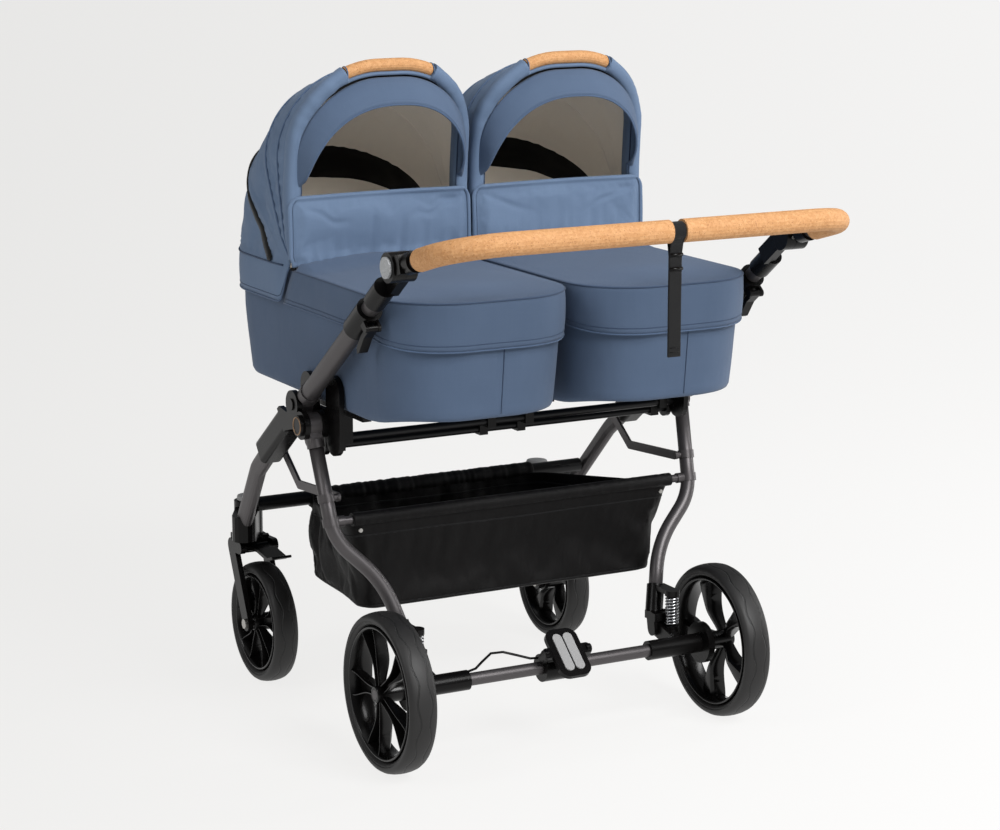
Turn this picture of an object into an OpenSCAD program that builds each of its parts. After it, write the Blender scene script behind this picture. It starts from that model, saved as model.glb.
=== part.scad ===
// Side-by-side twin pram with two carrycots. Millimetres, +Y is the way it travels, +Z is up.
// Inside the modules Y = 0 is the rear axle; placed() moves the finished piece to the part's origin,
// which is on the floor under the middle of the whole pram.

/* [Rear wheels] */
// Outer radius of a rear tyre
rear_tyre_r = 135; // [125:1:145]
// Width of a rear tyre
rear_tyre_w = 50; // [44:1:54]
// Distance of a rear wheel's middle from the centre plane
rear_wheel_x = 321; // [320:1:326]
// Radius of the rear stub axle
rear_stub_r = 6; // [5:0.5:7]
// Number of spokes in a wheel
spokes = 6; // [5:1:7]

/* [Front wheels] */
// Outer radius of a front tyre
front_tyre_r = 110; // [100:1:114]
// Width of a front tyre
front_tyre_w = 46; // [40:1:48]
// Distance of a caster's swivel axis from the centre plane
caster_x = 303; // [298:1:306]
// Distance of the swivel axis ahead of the rear axle
caster_y = 626; // [616:1:640]
// Distance of the front axle behind the swivel axis
caster_trail = 65; // [55:1:70]
// Radius of a front axle bolt
front_axle_r = 5; // [4:0.5:6]
// Radius of the caster stem
stem_r = 8; // [7:0.5:10]
// Outer radius of a caster barrel
barrel_r = 26; // [23:1:29]
// Length of a caster barrel
barrel_len = 62; // [56:1:70]

/* [Frame] */
// Fold pivot ahead of the rear axle
fold_y = 240; // [236:1:244]
// Fold pivot above the floor
fold_z = 582; // [580:1:586]
// Slope of the arms from level
arm_tilt = 37.1; // [35:0.1:39]
// Rear leg pivot ahead of the rear axle
leg_pivot_y = 205; // [203:1:207]
// Rear leg pivot above the floor
leg_pivot_z = 552; // [549:1:554]
// Thickness of the knuckles that turn in the hubs
knuckle_t = 22; // [18:1:24]
// Thickness of a hub cheek
cheek_t = 9.5; // [8:0.5:11]
// Radius of the rear leg tube
leg_r = 12.5; // [11:0.5:13]
// Depth of the oval front leg tube
front_leg_depth = 33; // [28:1:36]
// Thickness of the oval front leg tube
front_leg_t = 22; // [18:1:24]
// Radius of the front cross tube
cross_r = 13; // [10:0.5:14]
// Radius of the two bars under the cots
cot_bar_r = 7; // [6:0.5:8]
// Radius of the rod that carries the basket
rod_r = 7; // [5:0.5:8]

/* [Rear axle] */
// Radius of the rear axle tube
axle_r = 11; // [9:0.5:12]
// Radius of the swing arm sleeve
sleeve_r = 17; // [15:0.5:19]
// Suspension pivot ahead of the rear axle
swing_y = 66; // [62:1:70]
// Suspension pivot above the rear axle
swing_rise = 15; // [12:1:18]
// Mean radius of a coil spring
spring_r = 10.5; // [9:0.5:11]
// Radius of the spring wire
spring_wire_r = 1.5; // [1.2:0.1:1.8]
// Turns of a coil spring
spring_turns = 9; // [7:1:10]

/* [Handle] */
// Radius of the outer arm tube
arm_r = 16.5; // [15:0.5:17]
// Radius of the inner slide tube
slide_r = 14; // [13:0.5:14.5]
// Tilt joint's distance up the arm from the fold pivot
tilt_s = 470; // [460:1:480]
// Radius of the tilt joint
tilt_r = 24; // [22:0.5:26]
// Slope of the handle's side bars from level
handle_tilt = 15.6; // [10:0.1:20]
// Distance of the cross grip from the tilt joint
handle_reach = 204; // [190:1:215]
// Bend radius of the handle's corners
handle_bend = 90; // [80:1:100]
// Radius of the handle tube
handle_r = 12.5; // [11:0.5:13]
// Radius of the cork grip
grip_r = 18.5; // [17:0.5:20]
// Width of the wrist strap
strap_w = 22; // [18:1:26]
// Length of the wrist strap below the handle's axis
strap_len = 197; // [160:1:220]

/* [Carrycots] */
// Half width of a cot shell at its rim
cot_half = 160; // [154:0.5:161]
// How much narrower a cot shell is at its floor, on each side
cot_taper = 10; // [6:1:20]
// Gap between a cot's shell and the pram's centre plane
cot_apart = 13; // [12:0.5:15]
// Height of the underside of a cot
cot_floor_z = 580; // [579.5:0.5:586]
// Height of a cot's rim
cot_rim_z = 792; // [786:1:798]
// Head end of the whole cot, ahead of the rear axle
cot_head_y = 676; // [673:1:690]
// Foot end of the shell at its rim, behind the rear axle
cot_foot_y = 108; // [100:1:116]
// Thickness of a cot's wall
cot_wall = 5; // [4:0.5:7]
// Thickness of the cover fabric
cover_t = 4; // [3:0.5:5]
// Height of the hood's arch above the rim
hood_rise = 338; // [320:1:350]
// Height of the wind flap
flap_h = 112; // [90:1:120]
// Length of the cork carrying grip on a hood
hood_grip_len = 160; // [130:1:180]

/* [Basket] */
// Half width of the basket's top at the rear
basket_half = 324; // [300:1:326]
// Half width of the basket's floor at the rear
basket_floor_half = 280; // [262:1:284]
// Width of the basket's front as a share of its rear
basket_taper = 0.72; // [0.65:0.01:0.9]
// Height of the basket's floor
basket_floor_z = 230; // [222:1:240]
// Thickness of the basket's cloth
basket_t = 4; // [3:0.5:5]

/* [Clearances] */
// Radial running clearance of a pin or shaft in its bore
run = 0.05; // [0.02:0.01:0.08]
// Gap between faces that pass each other
gap = 0.5; // [0.35:0.05:0.6]
// Gap between seated pieces
seat = 0.3; // [0.2:0.05:0.35]

/* [Hidden] */
$fn = 48;

BLACK = "#1d1d1f";
GRAPHITE = "#4d4d50";
FABRIC = "#6580a0";
CORK = "#dcae72";
PALE = "#b4b6b8";
CHROME = "#c9cacd";

// Driving lines of the frame; its width follows from the cots it carries
cot_x = cot_half + cot_apart;
cot_floor_half = cot_half - cot_taper;
frame_x = cot_x + cot_half + 29;
arm_dir = [0, -cos(arm_tilt), sin(arm_tilt)];
tilt_at = [0, fold_y, fold_z] + tilt_s * arm_dir;
grip_dir = [0, -cos(handle_tilt), sin(handle_tilt)];
grip_at = tilt_at + handle_reach * grip_dir;
y_shift = -(cot_head_y + grip_at.y - grip_r) / 2;

// Hub
slot = knuckle_t + 2 * gap;
cheek_in = frame_x - slot / 2 - cheek_t;
cheek_out = frame_x + slot / 2 + cheek_t;
fold_pin_r = 7;
leg_pin_r = 8;
lobe_r = 24;
hub_depth = front_leg_depth + 12;
hub_t = 40;
hub_top_s = -58;
hub_end_s = -186;
collar_r = 21.5;

// Front leg: out of the hub, one bend, down into the caster bracket
leg_top = [frame_x, fold_y + 120 * cos(arm_tilt), fold_z - 120 * sin(arm_tilt)];
leg_bend_at = [frame_x - 4, fold_y + 256 * cos(arm_tilt), fold_z - 256 * sin(arm_tilt)];
leg_bend_r = 70;
leg_foot = [caster_x + 38, caster_y - 64, 292];
barrel_z = 262.6;

// Rear leg: down from the pivot, in under the cots, down to the axle
leg_top_at = [frame_x, leg_pivot_y, leg_pivot_z];
leg_upper = [frame_x - 12, leg_pivot_y - 58, 365];
leg_lower = [271, 123, 287];
leg_end = [240, 84, 176];
leg_curve_r = 55;
leg_run = (leg_upper - leg_top_at) / norm(leg_upper - leg_top_at);
leg_start = leg_top_at + 29 * leg_run;
rod_at = leg_top_at + 167 * leg_run;
strut_on_leg = leg_top_at + 126 * leg_run;
strut_at = [strut_on_leg.y, strut_on_leg.z];
strut_x = frame_x - 32;
strut_t = 5;
strut_face = strut_x + strut_t + gap;
strut_pin_r = 4;

// Rear axle
axle_z = rear_tyre_r;
swing_z = axle_z + swing_rise;
swing_pin_r = 5;
spring_at = [leg_end.x + 10, 40];
spring_low = axle_z + sleeve_r + 8;
spring_high = spring_low + 54;
pedal_tilt = 40;

// Cots
bar_front = [leg_pivot_y + 7, leg_pivot_z - 41];
bar_rear = [leg_pivot_y - 23, leg_pivot_z - 22];
hood_y = 330;
hood_z = cot_rim_z + 10;
flap_y = 318;
cover_half = cot_half + 2 + cover_t;

// Short forms
function unit(v) = v / norm(v);
function lerp(a, b, t) = a + (b - a) * t;

module placed() {
    translate([0, y_shift, 0]) children();
}

// Copies for the right side (+X) and the left side
module both_sides() {
    children();
    mirror([1, 0, 0]) children();
}

module on_side(side) {
    if (side > 0) children();
    else mirror([1, 0, 0]) children();
}

// Flat plate between two X values, drawn in Y and Z
module plate(x0, x1) {
    translate([x0, 0, 0]) rotate([90, 0, 90]) linear_extrude(x1 - x0) children();
}

// Round bar along X
module x_bar(x0, x1, y, z, r) {
    translate([x0, y, z]) rotate([0, 90, 0]) cylinder(r = r, h = x1 - x0);
}

// Round bar between two points
module bar(a, b, r) {
    d = b - a;
    translate(a) rotate([0, acos(d.z / norm(d)), atan2(d.y, d.x)]) cylinder(r = r, h = norm(d));
}

// Places children at distance s up the arm, local Z along the arm and local Y above it
module along_arm(s) {
    translate([frame_x, fold_y, fold_z] + s * arm_dir) rotate([90 - arm_tilt, 0, 0]) children();
}

// Places children at distance d along the handle's side bar from the tilt joint
module along_handle(d) {
    translate([frame_x, 0, 0] + tilt_at + d * grip_dir) rotate([90 - handle_tilt, 0, 0]) children();
}

// A profile carried along straight runs and round bends; the profile's X lies in the plane of the bend
module bent(points, bend, normal) {
    n = len(points);
    dirs = [for (i = [0:n - 2]) unit(points[i + 1] - points[i])];
    cuts = [for (i = [0:n - 1]) i == 0 || i == n - 1 ? 0 : bend * tan(acos(dirs[i - 1] * dirs[i]) / 2)];
    for (i = [0:n - 2]) {
        a = points[i] + cuts[i] * dirs[i];
        b = points[i + 1] - cuts[i + 1] * dirs[i];
        side = unit(cross(normal, dirs[i]));
        in_frame(side, unit(cross(dirs[i], side)), dirs[i], a) linear_extrude(norm(b - a)) children();
    }
    for (i = [1:n - 2]) {
        axis = unit(cross(dirs[i - 1], dirs[i]));
        start = points[i] - cuts[i] * dirs[i - 1];
        out = unit(cross(dirs[i - 1], axis));
        in_frame(out, dirs[i - 1], axis, start - bend * out)
            rotate_extrude(angle = acos(dirs[i - 1] * dirs[i])) translate([bend, 0]) children();
    }
}

module in_frame(x, y, z, at) {
    multmatrix([[x.x, y.x, z.x, at.x], [x.y, y.y, z.y, at.y], [x.z, y.z, z.z, at.z], [0, 0, 0, 1]])
        children();
}

// Flat oval, long along X
module oval(length, width) {
    square([length - width, width], center = true);
    for (s = [-1, 1]) translate([s * (length - width) / 2, 0]) circle(d = width);
}

module rounded(w, h, r) {
    square([w - 2 * r, h], center = true);
    square([w, h - 2 * r], center = true);
    for (x = [-1, 1], y = [-1, 1]) translate([x * (w / 2 - r), y * (h / 2 - r)]) circle(r);
}

// Straight flat link between two points, with round ends
end_steps = 8;
module link2d(a, b, w) {
    along = atan2(b.y - a.y, b.x - a.x);
    polygon([for (e = [[b, -90], [a, 90]], k = [0:end_steps]) let (v = along + e[1] + 180 * k / end_steps)
        e[0] + w / 2 * [cos(v), sin(v)]]);
}

// Closed skin through rings of equal point count, with a fan over the first and the last ring
module skin(rings) {
    n = len(rings[0]);
    m = len(rings);
    flat = [for (r = rings) for (p = r) p];
    middle = function(r) [for (k = [0:2]) [for (p = r) p[k]] * [for (p = r) 1] / n];
    points = concat(flat, [middle(rings[0]), middle(rings[m - 1])]);
    sides = [for (j = [0:m - 2], i = [0:n - 1]) let (a = j * n + i, b = j * n + (i + 1) % n)
        each [[a, a + n, b], [b, a + n, b + n]]];
    first = [for (i = [0:n - 1]) [i, (i + 1) % n, n * m]];
    last = [for (i = [0:n - 1]) [(m - 1) * n + (i + 1) % n, (m - 1) * n + i, n * m + 1]];
    polyhedron(concat(points), concat(sides, first, last));
}

// Closed skin through C-shaped rings: the first half of each ring is its outside, the second its inside
module arch_skin(rings) {
    n = len(rings[0]);
    m = len(rings);
    flat = [for (r = rings) for (p = r) p];
    sides = [for (j = [0:m - 2], i = [0:n - 1]) let (a = j * n + i, b = j * n + (i + 1) % n)
        each [[a, a + n, b], [b, a + n, b + n]]];
    strip = function(k, turn) [for (i = [0:n / 2 - 2])
        let (a = k + i, b = k + i + 1, c = k + n - 1 - i, d = k + n - 2 - i)
        each turn ? [[a, b, c], [b, d, c]] : [[a, c, b], [b, c, d]]];
    polyhedron(flat, concat(sides, strip(0, true), strip((m - 1) * n, false)));
}

// Rounded rectangle ring in plan, from y0 to y1, counted anticlockwise from above
corner_steps = 5;
function ring(half, y0, y1, r, z, front_r = 0) = [
    for (c = [[1, 1, 0], [-1, 1, 90], [-1, -1, 180], [1, -1, 270]], k = [0:corner_steps])
        let (a = c[2] + 90 * k / corner_steps, q = c[1] > 0 && front_r > 0 ? front_r : r)
        [c[0] * (half - q) + q * cos(a), (c[1] > 0 ? y1 - q : y0 + q) + q * sin(a), z]];

// Stations along straight runs and round bends: each is a point and a direction
function stations(points, bend, steps) = let (n = len(points),
        dirs = [for (i = [0:n - 2]) unit(points[i + 1] - points[i])])
    [for (i = [0:n - 1]) each i == 0 ? [[points[0], dirs[0]]] : i == n - 1 ? [[points[i], dirs[i - 1]]]
        : turn_stations(points[i], dirs[i - 1], dirs[i], bend, steps)];
function turn_stations(corner, d0, d1, bend, steps) = let (
        turn = acos(d0 * d1), to_centre = unit(d1 - d0 * (d0 * d1)),
        centre = corner - bend * tan(turn / 2) * d0 + bend * to_centre)
    [for (k = [0:steps]) let (a = turn * k / steps)
        [centre + bend * (sin(a) * d0 - cos(a) * to_centre), cos(a) * d0 + sin(a) * to_centre]];

// Rings of a flat profile carried along stations; the profile's X is square to the normal
function carried(path, normal, profile) = [for (s = path)
    let (u = unit(cross(s[1], normal)), v = cross(u, s[1])) [for (q = profile) s[0] + q.x * u + q.y * v]];
tube_sides = 20;
function round_profile(r) = [for (k = [0:tube_sides - 1]) let (v = 360 * k / tube_sides)
    r * [cos(v), sin(v)]];
function oval_profile(length, width) = [for (s = [1, -1], k = [0:8])
    let (a = (s > 0 ? -90 : 90) + 180 * k / 8) [s * (length - width) / 2, 0] + width / 2 * [cos(a), sin(a)]];

// Closed skin whose last ring joins its first
module loop_skin(rings) {
    n = len(rings[0]);
    m = len(rings);
    polyhedron([for (r = rings) for (p = r) p], [for (j = [0:m - 1], i = [0:n - 1]) let (
        a = j * n + i, b = j * n + (i + 1) % n, c = (j + 1) % m * n + i, d = (j + 1) % m * n + (i + 1) % n)
        each [[a, c, b], [b, c, d]]]);
}

// Round tube swept along points
function tube_ring(p, d, r, sides) = let (
        u = unit(cross(d, abs(d.z) < 0.9 ? [0, 0, 1] : [1, 0, 0])), v = cross(u, d))
    [for (k = [0:sides - 1]) p + r * (cos(360 * k / sides) * u + sin(360 * k / sides) * v)];

module swept(points, r, sides) {
    n = len(points);
    skin([for (i = [0:n - 1])
        tube_ring(points[i], unit(points[min(i + 1, n - 1)] - points[max(i - 1, 0)]), r, sides)]);
}

// Frame, front part
module front_legs() {
    path = stations([leg_top, leg_bend_at, leg_foot], leg_bend_r, 8);
    color(GRAPHITE) placed() both_sides()
        skin(carried(path, leg_normal(), oval_profile(front_leg_depth, front_leg_t)));
}

function leg_normal() = unit(cross(leg_bend_at - leg_top, leg_foot - leg_bend_at));

module front_leg_void(extra) {
    path = [leg_top, leg_bend_at, leg_foot];
    bent(path, leg_bend_r, leg_normal()) oval(front_leg_depth + 2 * extra, front_leg_t + 2 * extra);
}

// The cross tube sits against the slanted inner faces of the front legs, which are round at their edges
// and so meet it short of its full radius; two bars run under the cots
cross_at = lerp(leg_bend_at, leg_foot, 0.62);
module cross_bars() {
    lie = abs(leg_normal().x);
    met_r = 0.58 * cross_r;
    end = cross_at.x - (front_leg_t / 2 + run + met_r * sqrt(1 - lie * lie)) / lie;
    bar_end = cheek_in - gap;
    color(BLACK) placed() {
        x_bar(-end, end, cross_at.y, cross_at.z, cross_r);
        for (at = [bar_front, bar_rear]) x_bar(-bar_end, bar_end, at.x, at.y, cot_bar_r);
    }
}

// One hub: two cheeks round the arm's knuckle and the leg's knuckle, and a socket for the front leg
module hub_cheek() {
    in_arm_plane() {
        circle(lobe_r);
        polygon([[hub_top_s - 2, -hub_depth / 2], [0, -hub_depth / 2], [0, -4], [-lobe_r - 4, 0],
            [-lobe_r - 4 - hub_depth / 2, hub_depth / 2], [hub_top_s - 2, hub_depth / 2]]);
        translate(leg_pivot_sn()) circle(lobe_r);
        polygon([leg_pivot_sn() + lobe_r * [cos(50), sin(50)], [0, -hub_depth / 2 + 2],
            [hub_top_s, -hub_depth / 2 + 2], leg_pivot_sn() + lobe_r * [cos(165), sin(165)]]);
    }
}

// Drawing plane with X up the arm and Y above it, from the fold pivot
module in_arm_plane() {
    translate([fold_y, fold_z]) rotate(180 - arm_tilt) mirror([0, 1]) children();
}

// The leg pivot in that plane
function leg_pivot_sn() = let (d = [leg_pivot_y - fold_y, leg_pivot_z - fold_z])
    [-d.x * cos(arm_tilt) + d.y * sin(arm_tilt), d.x * sin(arm_tilt) + d.y * cos(arm_tilt)];

module hubs() {
    color(BLACK) placed() both_sides() difference() {
        union() {
            plate(cheek_in, frame_x - slot / 2) hub_cheek();
            plate(frame_x + slot / 2, cheek_out) hub_cheek();
            along_arm(hub_end_s) linear_extrude(hub_top_s - hub_end_s)
                rounded(hub_t, hub_depth, 9);
        }
        front_leg_void(run);
        x_bar(cheek_in - 1, cheek_out + 1, fold_y, fold_z, fold_pin_r + run);
        x_bar(cheek_in - 1, cheek_out + 1, leg_pivot_y, leg_pivot_z, leg_pin_r + run);
    }
}

// Pivot bolts through the hubs; the leg's bolt has a wide round cap
module pivot_bolts() {
    color(BLACK) placed() both_sides() {
        x_bar(cheek_in, cheek_out, fold_y, fold_z, fold_pin_r);
        x_bar(cheek_out, cheek_out + 2.5, fold_y, fold_z, fold_pin_r + 3);
        x_bar(cheek_in, cheek_out, leg_pivot_y, leg_pivot_z, leg_pin_r);
        x_bar(cheek_out, cheek_out + 6, leg_pivot_y, leg_pivot_z, leg_pin_r + 10);
    }
}

// Rails that a cot stands on, with posts on the bars, and plates with ears beside the hubs
rail_top = cot_floor_z - seat;
rail_w = 16;
module cot_rail(x) {
    translate([x - rail_w / 2, leg_pivot_y - 105, rail_top - 9]) cube([rail_w, 210, 9]);
    for (at = [bar_front, bar_rear]) translate([x - rail_w / 2, at.x - 10, at.y - 10])
        cube([rail_w, 20, rail_top - at.y + 5]);
}

module cot_ears() {
    plate(cot_x + cot_half - 1.6, cheek_in - gap) {
        link2d([leg_pivot_y - 38, bar_rear.y], [leg_pivot_y - 38, rail_top + 33], 54);
        link2d([leg_pivot_y + 67, rail_top - 10], [leg_pivot_y + 67, rail_top + 25], 50);
        link2d(bar_front, [bar_front.x, rail_top - 20], 30);
        translate([leg_pivot_y - 60, rail_top - 34]) square([146, 32]);
    }
}

module cot_carriers() {
    color(BLACK) placed() both_sides() difference() {
        union() {
            cot_rail(cot_x + cot_floor_half - 14);
            cot_ears();
            cot_rail(cot_x - cot_floor_half + 14);
        }
        for (at = [bar_front, bar_rear]) x_bar(0, frame_x, at.x, at.y, cot_bar_r + run);
    }
}

// A caster barrel with the bracket that holds the foot of the front leg
module caster_barrels() {
    color(BLACK) placed() both_sides() difference() {
        union() {
            translate([caster_x, caster_y, barrel_z]) cylinder(r = barrel_r, h = barrel_len);
            translate([caster_x, caster_y, barrel_z + barrel_len]) cylinder(r = barrel_r - 6, h = 8);
            translate([0, 0, barrel_z + 6]) linear_extrude(barrel_len - 16)
                link2d([caster_x, caster_y], [leg_foot.x, leg_foot.y - 6], 44);
        }
        translate([caster_x, caster_y, barrel_z - 1]) cylinder(r = stem_r + run, h = barrel_len - 4);
        front_leg_void(run);
    }
}

// Cloth basket hung between the basket rod and the front cross tube, narrower in front
basket_rear = rod_at.y + 1;
basket_front = cross_at.y - cross_r - 2;
module basket() {
    top_rear = rod_at.z - rod_r - seat;
    drawn_in = function(r, taper) [for (p = r)
        [p.x * lerp(1, taper, (p.y - basket_rear) / (basket_front - basket_rear)), p.y, p.z]];
    tilted = function(r) [for (p = r) [p.x, p.y,
        lerp(top_rear, cross_at.z, (p.y - basket_rear) / (basket_front - basket_rear))]];
    t = basket_t;
    floor_rear = basket_rear + 13;
    floor_front = basket_front - 20;
    mid_z = basket_floor_z + 12;
    low_taper = basket_taper + 0.09;
    color(BLACK) placed() skin([for (r = [
        [ring(basket_floor_half - 10, floor_rear + 10, floor_front - 12, 30, basket_floor_z), low_taper],
        [ring(basket_floor_half, floor_rear, floor_front, 36, mid_z), low_taper],
        [tilted(ring(basket_half, basket_rear, basket_front, 36, 0)), basket_taper],
        [tilted(ring(basket_half - t, basket_rear + t, basket_front - t, 36 - t, 0)), basket_taper],
        [ring(basket_floor_half - t, floor_rear + t, floor_front - t, 36 - t, mid_z), low_taper],
        [ring(basket_floor_half - 10 - t, floor_rear + 10 + t, floor_front - 12 - t, 30 - t,
            basket_floor_z + t), low_taper]])
        drawn_in(r[0], r[1])]);
}

// Frame, rear part
module rear_leg_tubes() {
    path = stations([leg_start, leg_upper, leg_lower, leg_end], leg_curve_r, 7);
    color(GRAPHITE) placed() both_sides() skin(carried(path, [0, 1, 0], round_profile(leg_r)));
}

// Knuckles that turn on the hubs' pivot bolts, with a sleeve over the top of each rear leg, and small
// collars on the leg for the strut's pin and the basket rod
module leg_knuckles() {
    sleeve_on = leg_top_at + 25.6 * leg_run;
    color(BLACK) placed() both_sides() difference() {
        union() {
            x_bar(frame_x - knuckle_t / 2, frame_x + knuckle_t / 2, leg_pivot_y, leg_pivot_z, 20);
            plate(frame_x - knuckle_t / 2, frame_x + knuckle_t / 2)
                link2d([leg_pivot_y, leg_pivot_z], leg_yz(24), 26);
            bar(sleeve_on, leg_top_at + 40 * leg_run, leg_r + 2.5);
            bar(strut_on_leg - 7 * leg_run, strut_on_leg + 7 * leg_run, leg_r + 2);
            x_bar(strut_face, strut_on_leg.x, strut_at.x, strut_at.y, strut_pin_r + 2);
            x_bar(strut_x - 1, strut_face + 3, strut_at.x, strut_at.y, strut_pin_r);
            bar(rod_at - 7 * leg_run, rod_at + 7 * leg_run, leg_r + 2);
            x_bar(rod_at.x - leg_r - 12, rod_at.x, rod_at.y, rod_at.z, rod_r + 2);
        }
        x_bar(frame_x - knuckle_t, frame_x + knuckle_t, leg_pivot_y, leg_pivot_z, leg_pin_r + run);
        bar(leg_start, leg_upper, leg_r + run);
        x_bar(rod_at.x - 60, rod_at.x, rod_at.y, rod_at.z, rod_r + run);
    }
}

// The place in Y and Z at this distance down the leg from its pivot
function leg_yz(d) = [leg_pivot_y + d * leg_run.y, leg_pivot_z + d * leg_run.z];

module basket_rod() {
    end = rod_at.x - leg_r - 3;
    color(GRAPHITE) placed() x_bar(-end, end, rod_at.y, rod_at.z, rod_r);
}

// Feet of the rear legs: a socket, a clevis for the swing arm and a seat over the spring
lug_in = leg_end.x - 9;
lug_out = leg_end.x + 9;
clevis_in = lug_in - gap - 7;
clevis_out = lug_out + gap + 7;
module spring_brackets() {
    foot = swing_z + 16;
    up = unit(leg_lower - leg_end);
    color(BLACK) placed() both_sides() {
        difference() {
            union() {
                bar(leg_end - 2 * up, leg_end + 48 * up, leg_r + 3);
                translate([clevis_in, swing_y - 12, foot]) cube([clevis_out - clevis_in, 34, 14]);
                for (x = [[clevis_in, lug_in - gap], [lug_out + gap, clevis_out]])
                    plate(x[0], x[1]) link2d([swing_y, swing_z], [swing_y + 4, foot + 4], 24);
                translate([spring_at.x - 7, spring_at.y, spring_high + seat])
                    cube([22, leg_end.y + 8 - spring_at.y, 8]);
                translate([spring_at.x, spring_at.y, spring_high + seat])
                    cylinder(r = spring_r + 2.5, h = 10);
            }
            bar(leg_end, leg_lower, leg_r + run);
        }
        x_bar(clevis_in + 1, clevis_out - 1, swing_y, swing_z, swing_pin_r);
    }
}

// Bent strut between a rear leg and the front frame
module strut(side) {
    knee = [326, 420];
    top = [fold_y + 188 * cos(arm_tilt), fold_z - 188 * sin(arm_tilt) - 2];
    color(GRAPHITE) placed() on_side(side) difference() {
        union() {
            plate(strut_x, strut_x + strut_t) {
                link2d(strut_at, knee, 15);
                link2d(knee, top, 15);
            }
            x_bar(strut_x - 3, strut_x, top.x, top.y, 6);
        }
        x_bar(strut_x - 1, strut_x + strut_t + 1, strut_at.x, strut_at.y, strut_pin_r + run);
    }
}

module strut_left() { strut(-1); }
module strut_right() { strut(1); }

// Rear axle
stub_end = rear_wheel_x + rear_tyre_w / 2 + 2;
drum_in = 280;
drum_out = rear_wheel_x - rear_tyre_w / 2 - 4;
module rear_axle() {
    color(GRAPHITE) placed() {
        x_bar(-drum_in, drum_in, 0, axle_z, axle_r);
        both_sides() {
            x_bar(drum_in, stub_end, 0, axle_z, rear_stub_r);
            x_bar(stub_end - 2, stub_end, 0, axle_z, rear_stub_r + 3);
        }
    }
}

// Swing arms with the brake drums' plates and the lower spring seats
module swing_arms() {
    color(BLACK) placed() both_sides() difference() {
        union() {
            x_bar(176, drum_in, 0, axle_z, sleeve_r);
            x_bar(drum_in, drum_out, 0, axle_z, 36);
            plate(lug_in, lug_out) link2d([0, axle_z], [swing_y, swing_z], 26);
            translate([spring_at.x, spring_at.y, axle_z])
                cylinder(r = spring_r + spring_wire_r, h = spring_low - seat - axle_z);
        }
        x_bar(170, drum_in, 0, axle_z, axle_r + run);
        x_bar(drum_in - 1, drum_out + 1, 0, axle_z, rear_stub_r + run);
        x_bar(lug_in - 1, lug_out + 1, swing_y, swing_z, swing_pin_r + run);
    }
}

// Pedal frame: local Z stands off the axle, local Y runs up the pedal
module on_pedal() {
    translate([0, 0, axle_z]) rotate([pedal_tilt, 0, 0]) children();
}

pedal_pivot = 27;
pedal_pin_r = 4;
brake_half = 36;
module brake_housing() {
    color(BLACK) placed() difference() {
        union() {
            x_bar(-brake_half, brake_half, 0, axle_z, 24);
            on_pedal() {
                x_bar(-brake_half + 1, brake_half - 1, 0, pedal_pivot, 8);
                x_bar(-brake_half - 9, brake_half + 9, 0, pedal_pivot, pedal_pin_r);
            }
        }
        x_bar(-brake_half - 10, brake_half + 10, 0, axle_z, axle_r + run);
    }
}

pedal_top = pedal_pivot + 18;
module brake_pedal() {
    color(BLACK) placed() on_pedal() difference() {
        union() {
            translate([0, -4, pedal_top - 8]) linear_extrude(8) rounded(60, 96, 18);
            translate([0, 0, pedal_top - 7.5]) linear_extrude(7) rounded(2 * brake_half + 18, 20, 6);
            for (s = [-1, 1]) translate([s * (brake_half + 5), 0, 0])
                plate(-4.2, 4.2) link2d([0, pedal_pivot], [0, pedal_top - 4], 16);
        }
        x_bar(-brake_half - 10, brake_half + 10, 0, pedal_pivot, pedal_pin_r + run);
    }
}

module pedal_pads() {
    color(PALE) placed() on_pedal() for (s = [-1, 1])
        translate([s * 10, -4, pedal_top]) linear_extrude(2.4) rotate(90) oval(74, 17);
}

// Brake cable from the housing to the sleeve of the left swing arm
cable_r = 2.2;
cable_route = [[-36, 10, 150], [-50, 11, 151], [-72, 18, 158], [-95, 25, 165], [-118, 25, 166],
    [-140, 14, 158], [-158, 4, 151], [-176, 0, 149]];
module brake_cable() {
    shift = [0, 0, axle_z - 135];
    color(BLACK) placed() swept([for (p = cable_route) p + shift], cable_r, 8);
}

// Coil springs between the brackets and the swing arms
spring_steps = 8;
function spring_point(i) = let (t = i / (spring_turns * spring_steps), lift = spring_wire_r + seat)
    [spring_at.x + spring_r * cos(360 * i / spring_steps),
        spring_at.y + spring_r * sin(360 * i / spring_steps),
        lerp(spring_low + lift, spring_high - lift, t)];
spring_path = [for (i = [0:spring_turns * spring_steps]) spring_point(i)];
spring_gap = min([for (i = [0:spring_steps], j = [spring_steps - 2:spring_steps + 2])
    norm(spring_path[i] - spring_path[i + j])]) - 2 * spring_wire_r;
echo("least gap between the turns of a spring, mm", spring_gap);
module rear_springs() {
    color(CHROME) placed() both_sides() swept(spring_path, spring_wire_r, 6);
}

// Wheels, drawn round the X axis with the middle of the tyre at the origin
module tyre(r, w, thick) {
    color(BLACK) rotate([0, 90, 0]) rotate_extrude($fn = 96) translate([r - thick / 2, 0])
        rounded(thick, w, thick / 2 - 1);
}

module rim(r, w, bore, hub_r, hub_in, hub_out) {
    color(BLACK) rotate([0, 90, 0]) difference() {
        union() {
            rotate_extrude($fn = 96) translate([r - 6, 0]) rounded(12, w - 8, 3);
            translate([0, 0, -hub_in]) cylinder(r = hub_r, h = hub_in + hub_out);
            for (k = [0:spokes - 1]) rotate(360 * k / spokes) translate([0, 0, -8]) linear_extrude(15)
                polygon([[hub_r - 6, -0.5 * hub_r], [r - 8, -0.08 * r], [r - 8, 0.15 * r],
                    [hub_r - 6, 0.4 * hub_r]]);
        }
        translate([0, 0, -hub_in - 1]) cylinder(r = bore, h = hub_in + hub_out + 2);
    }
}

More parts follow.
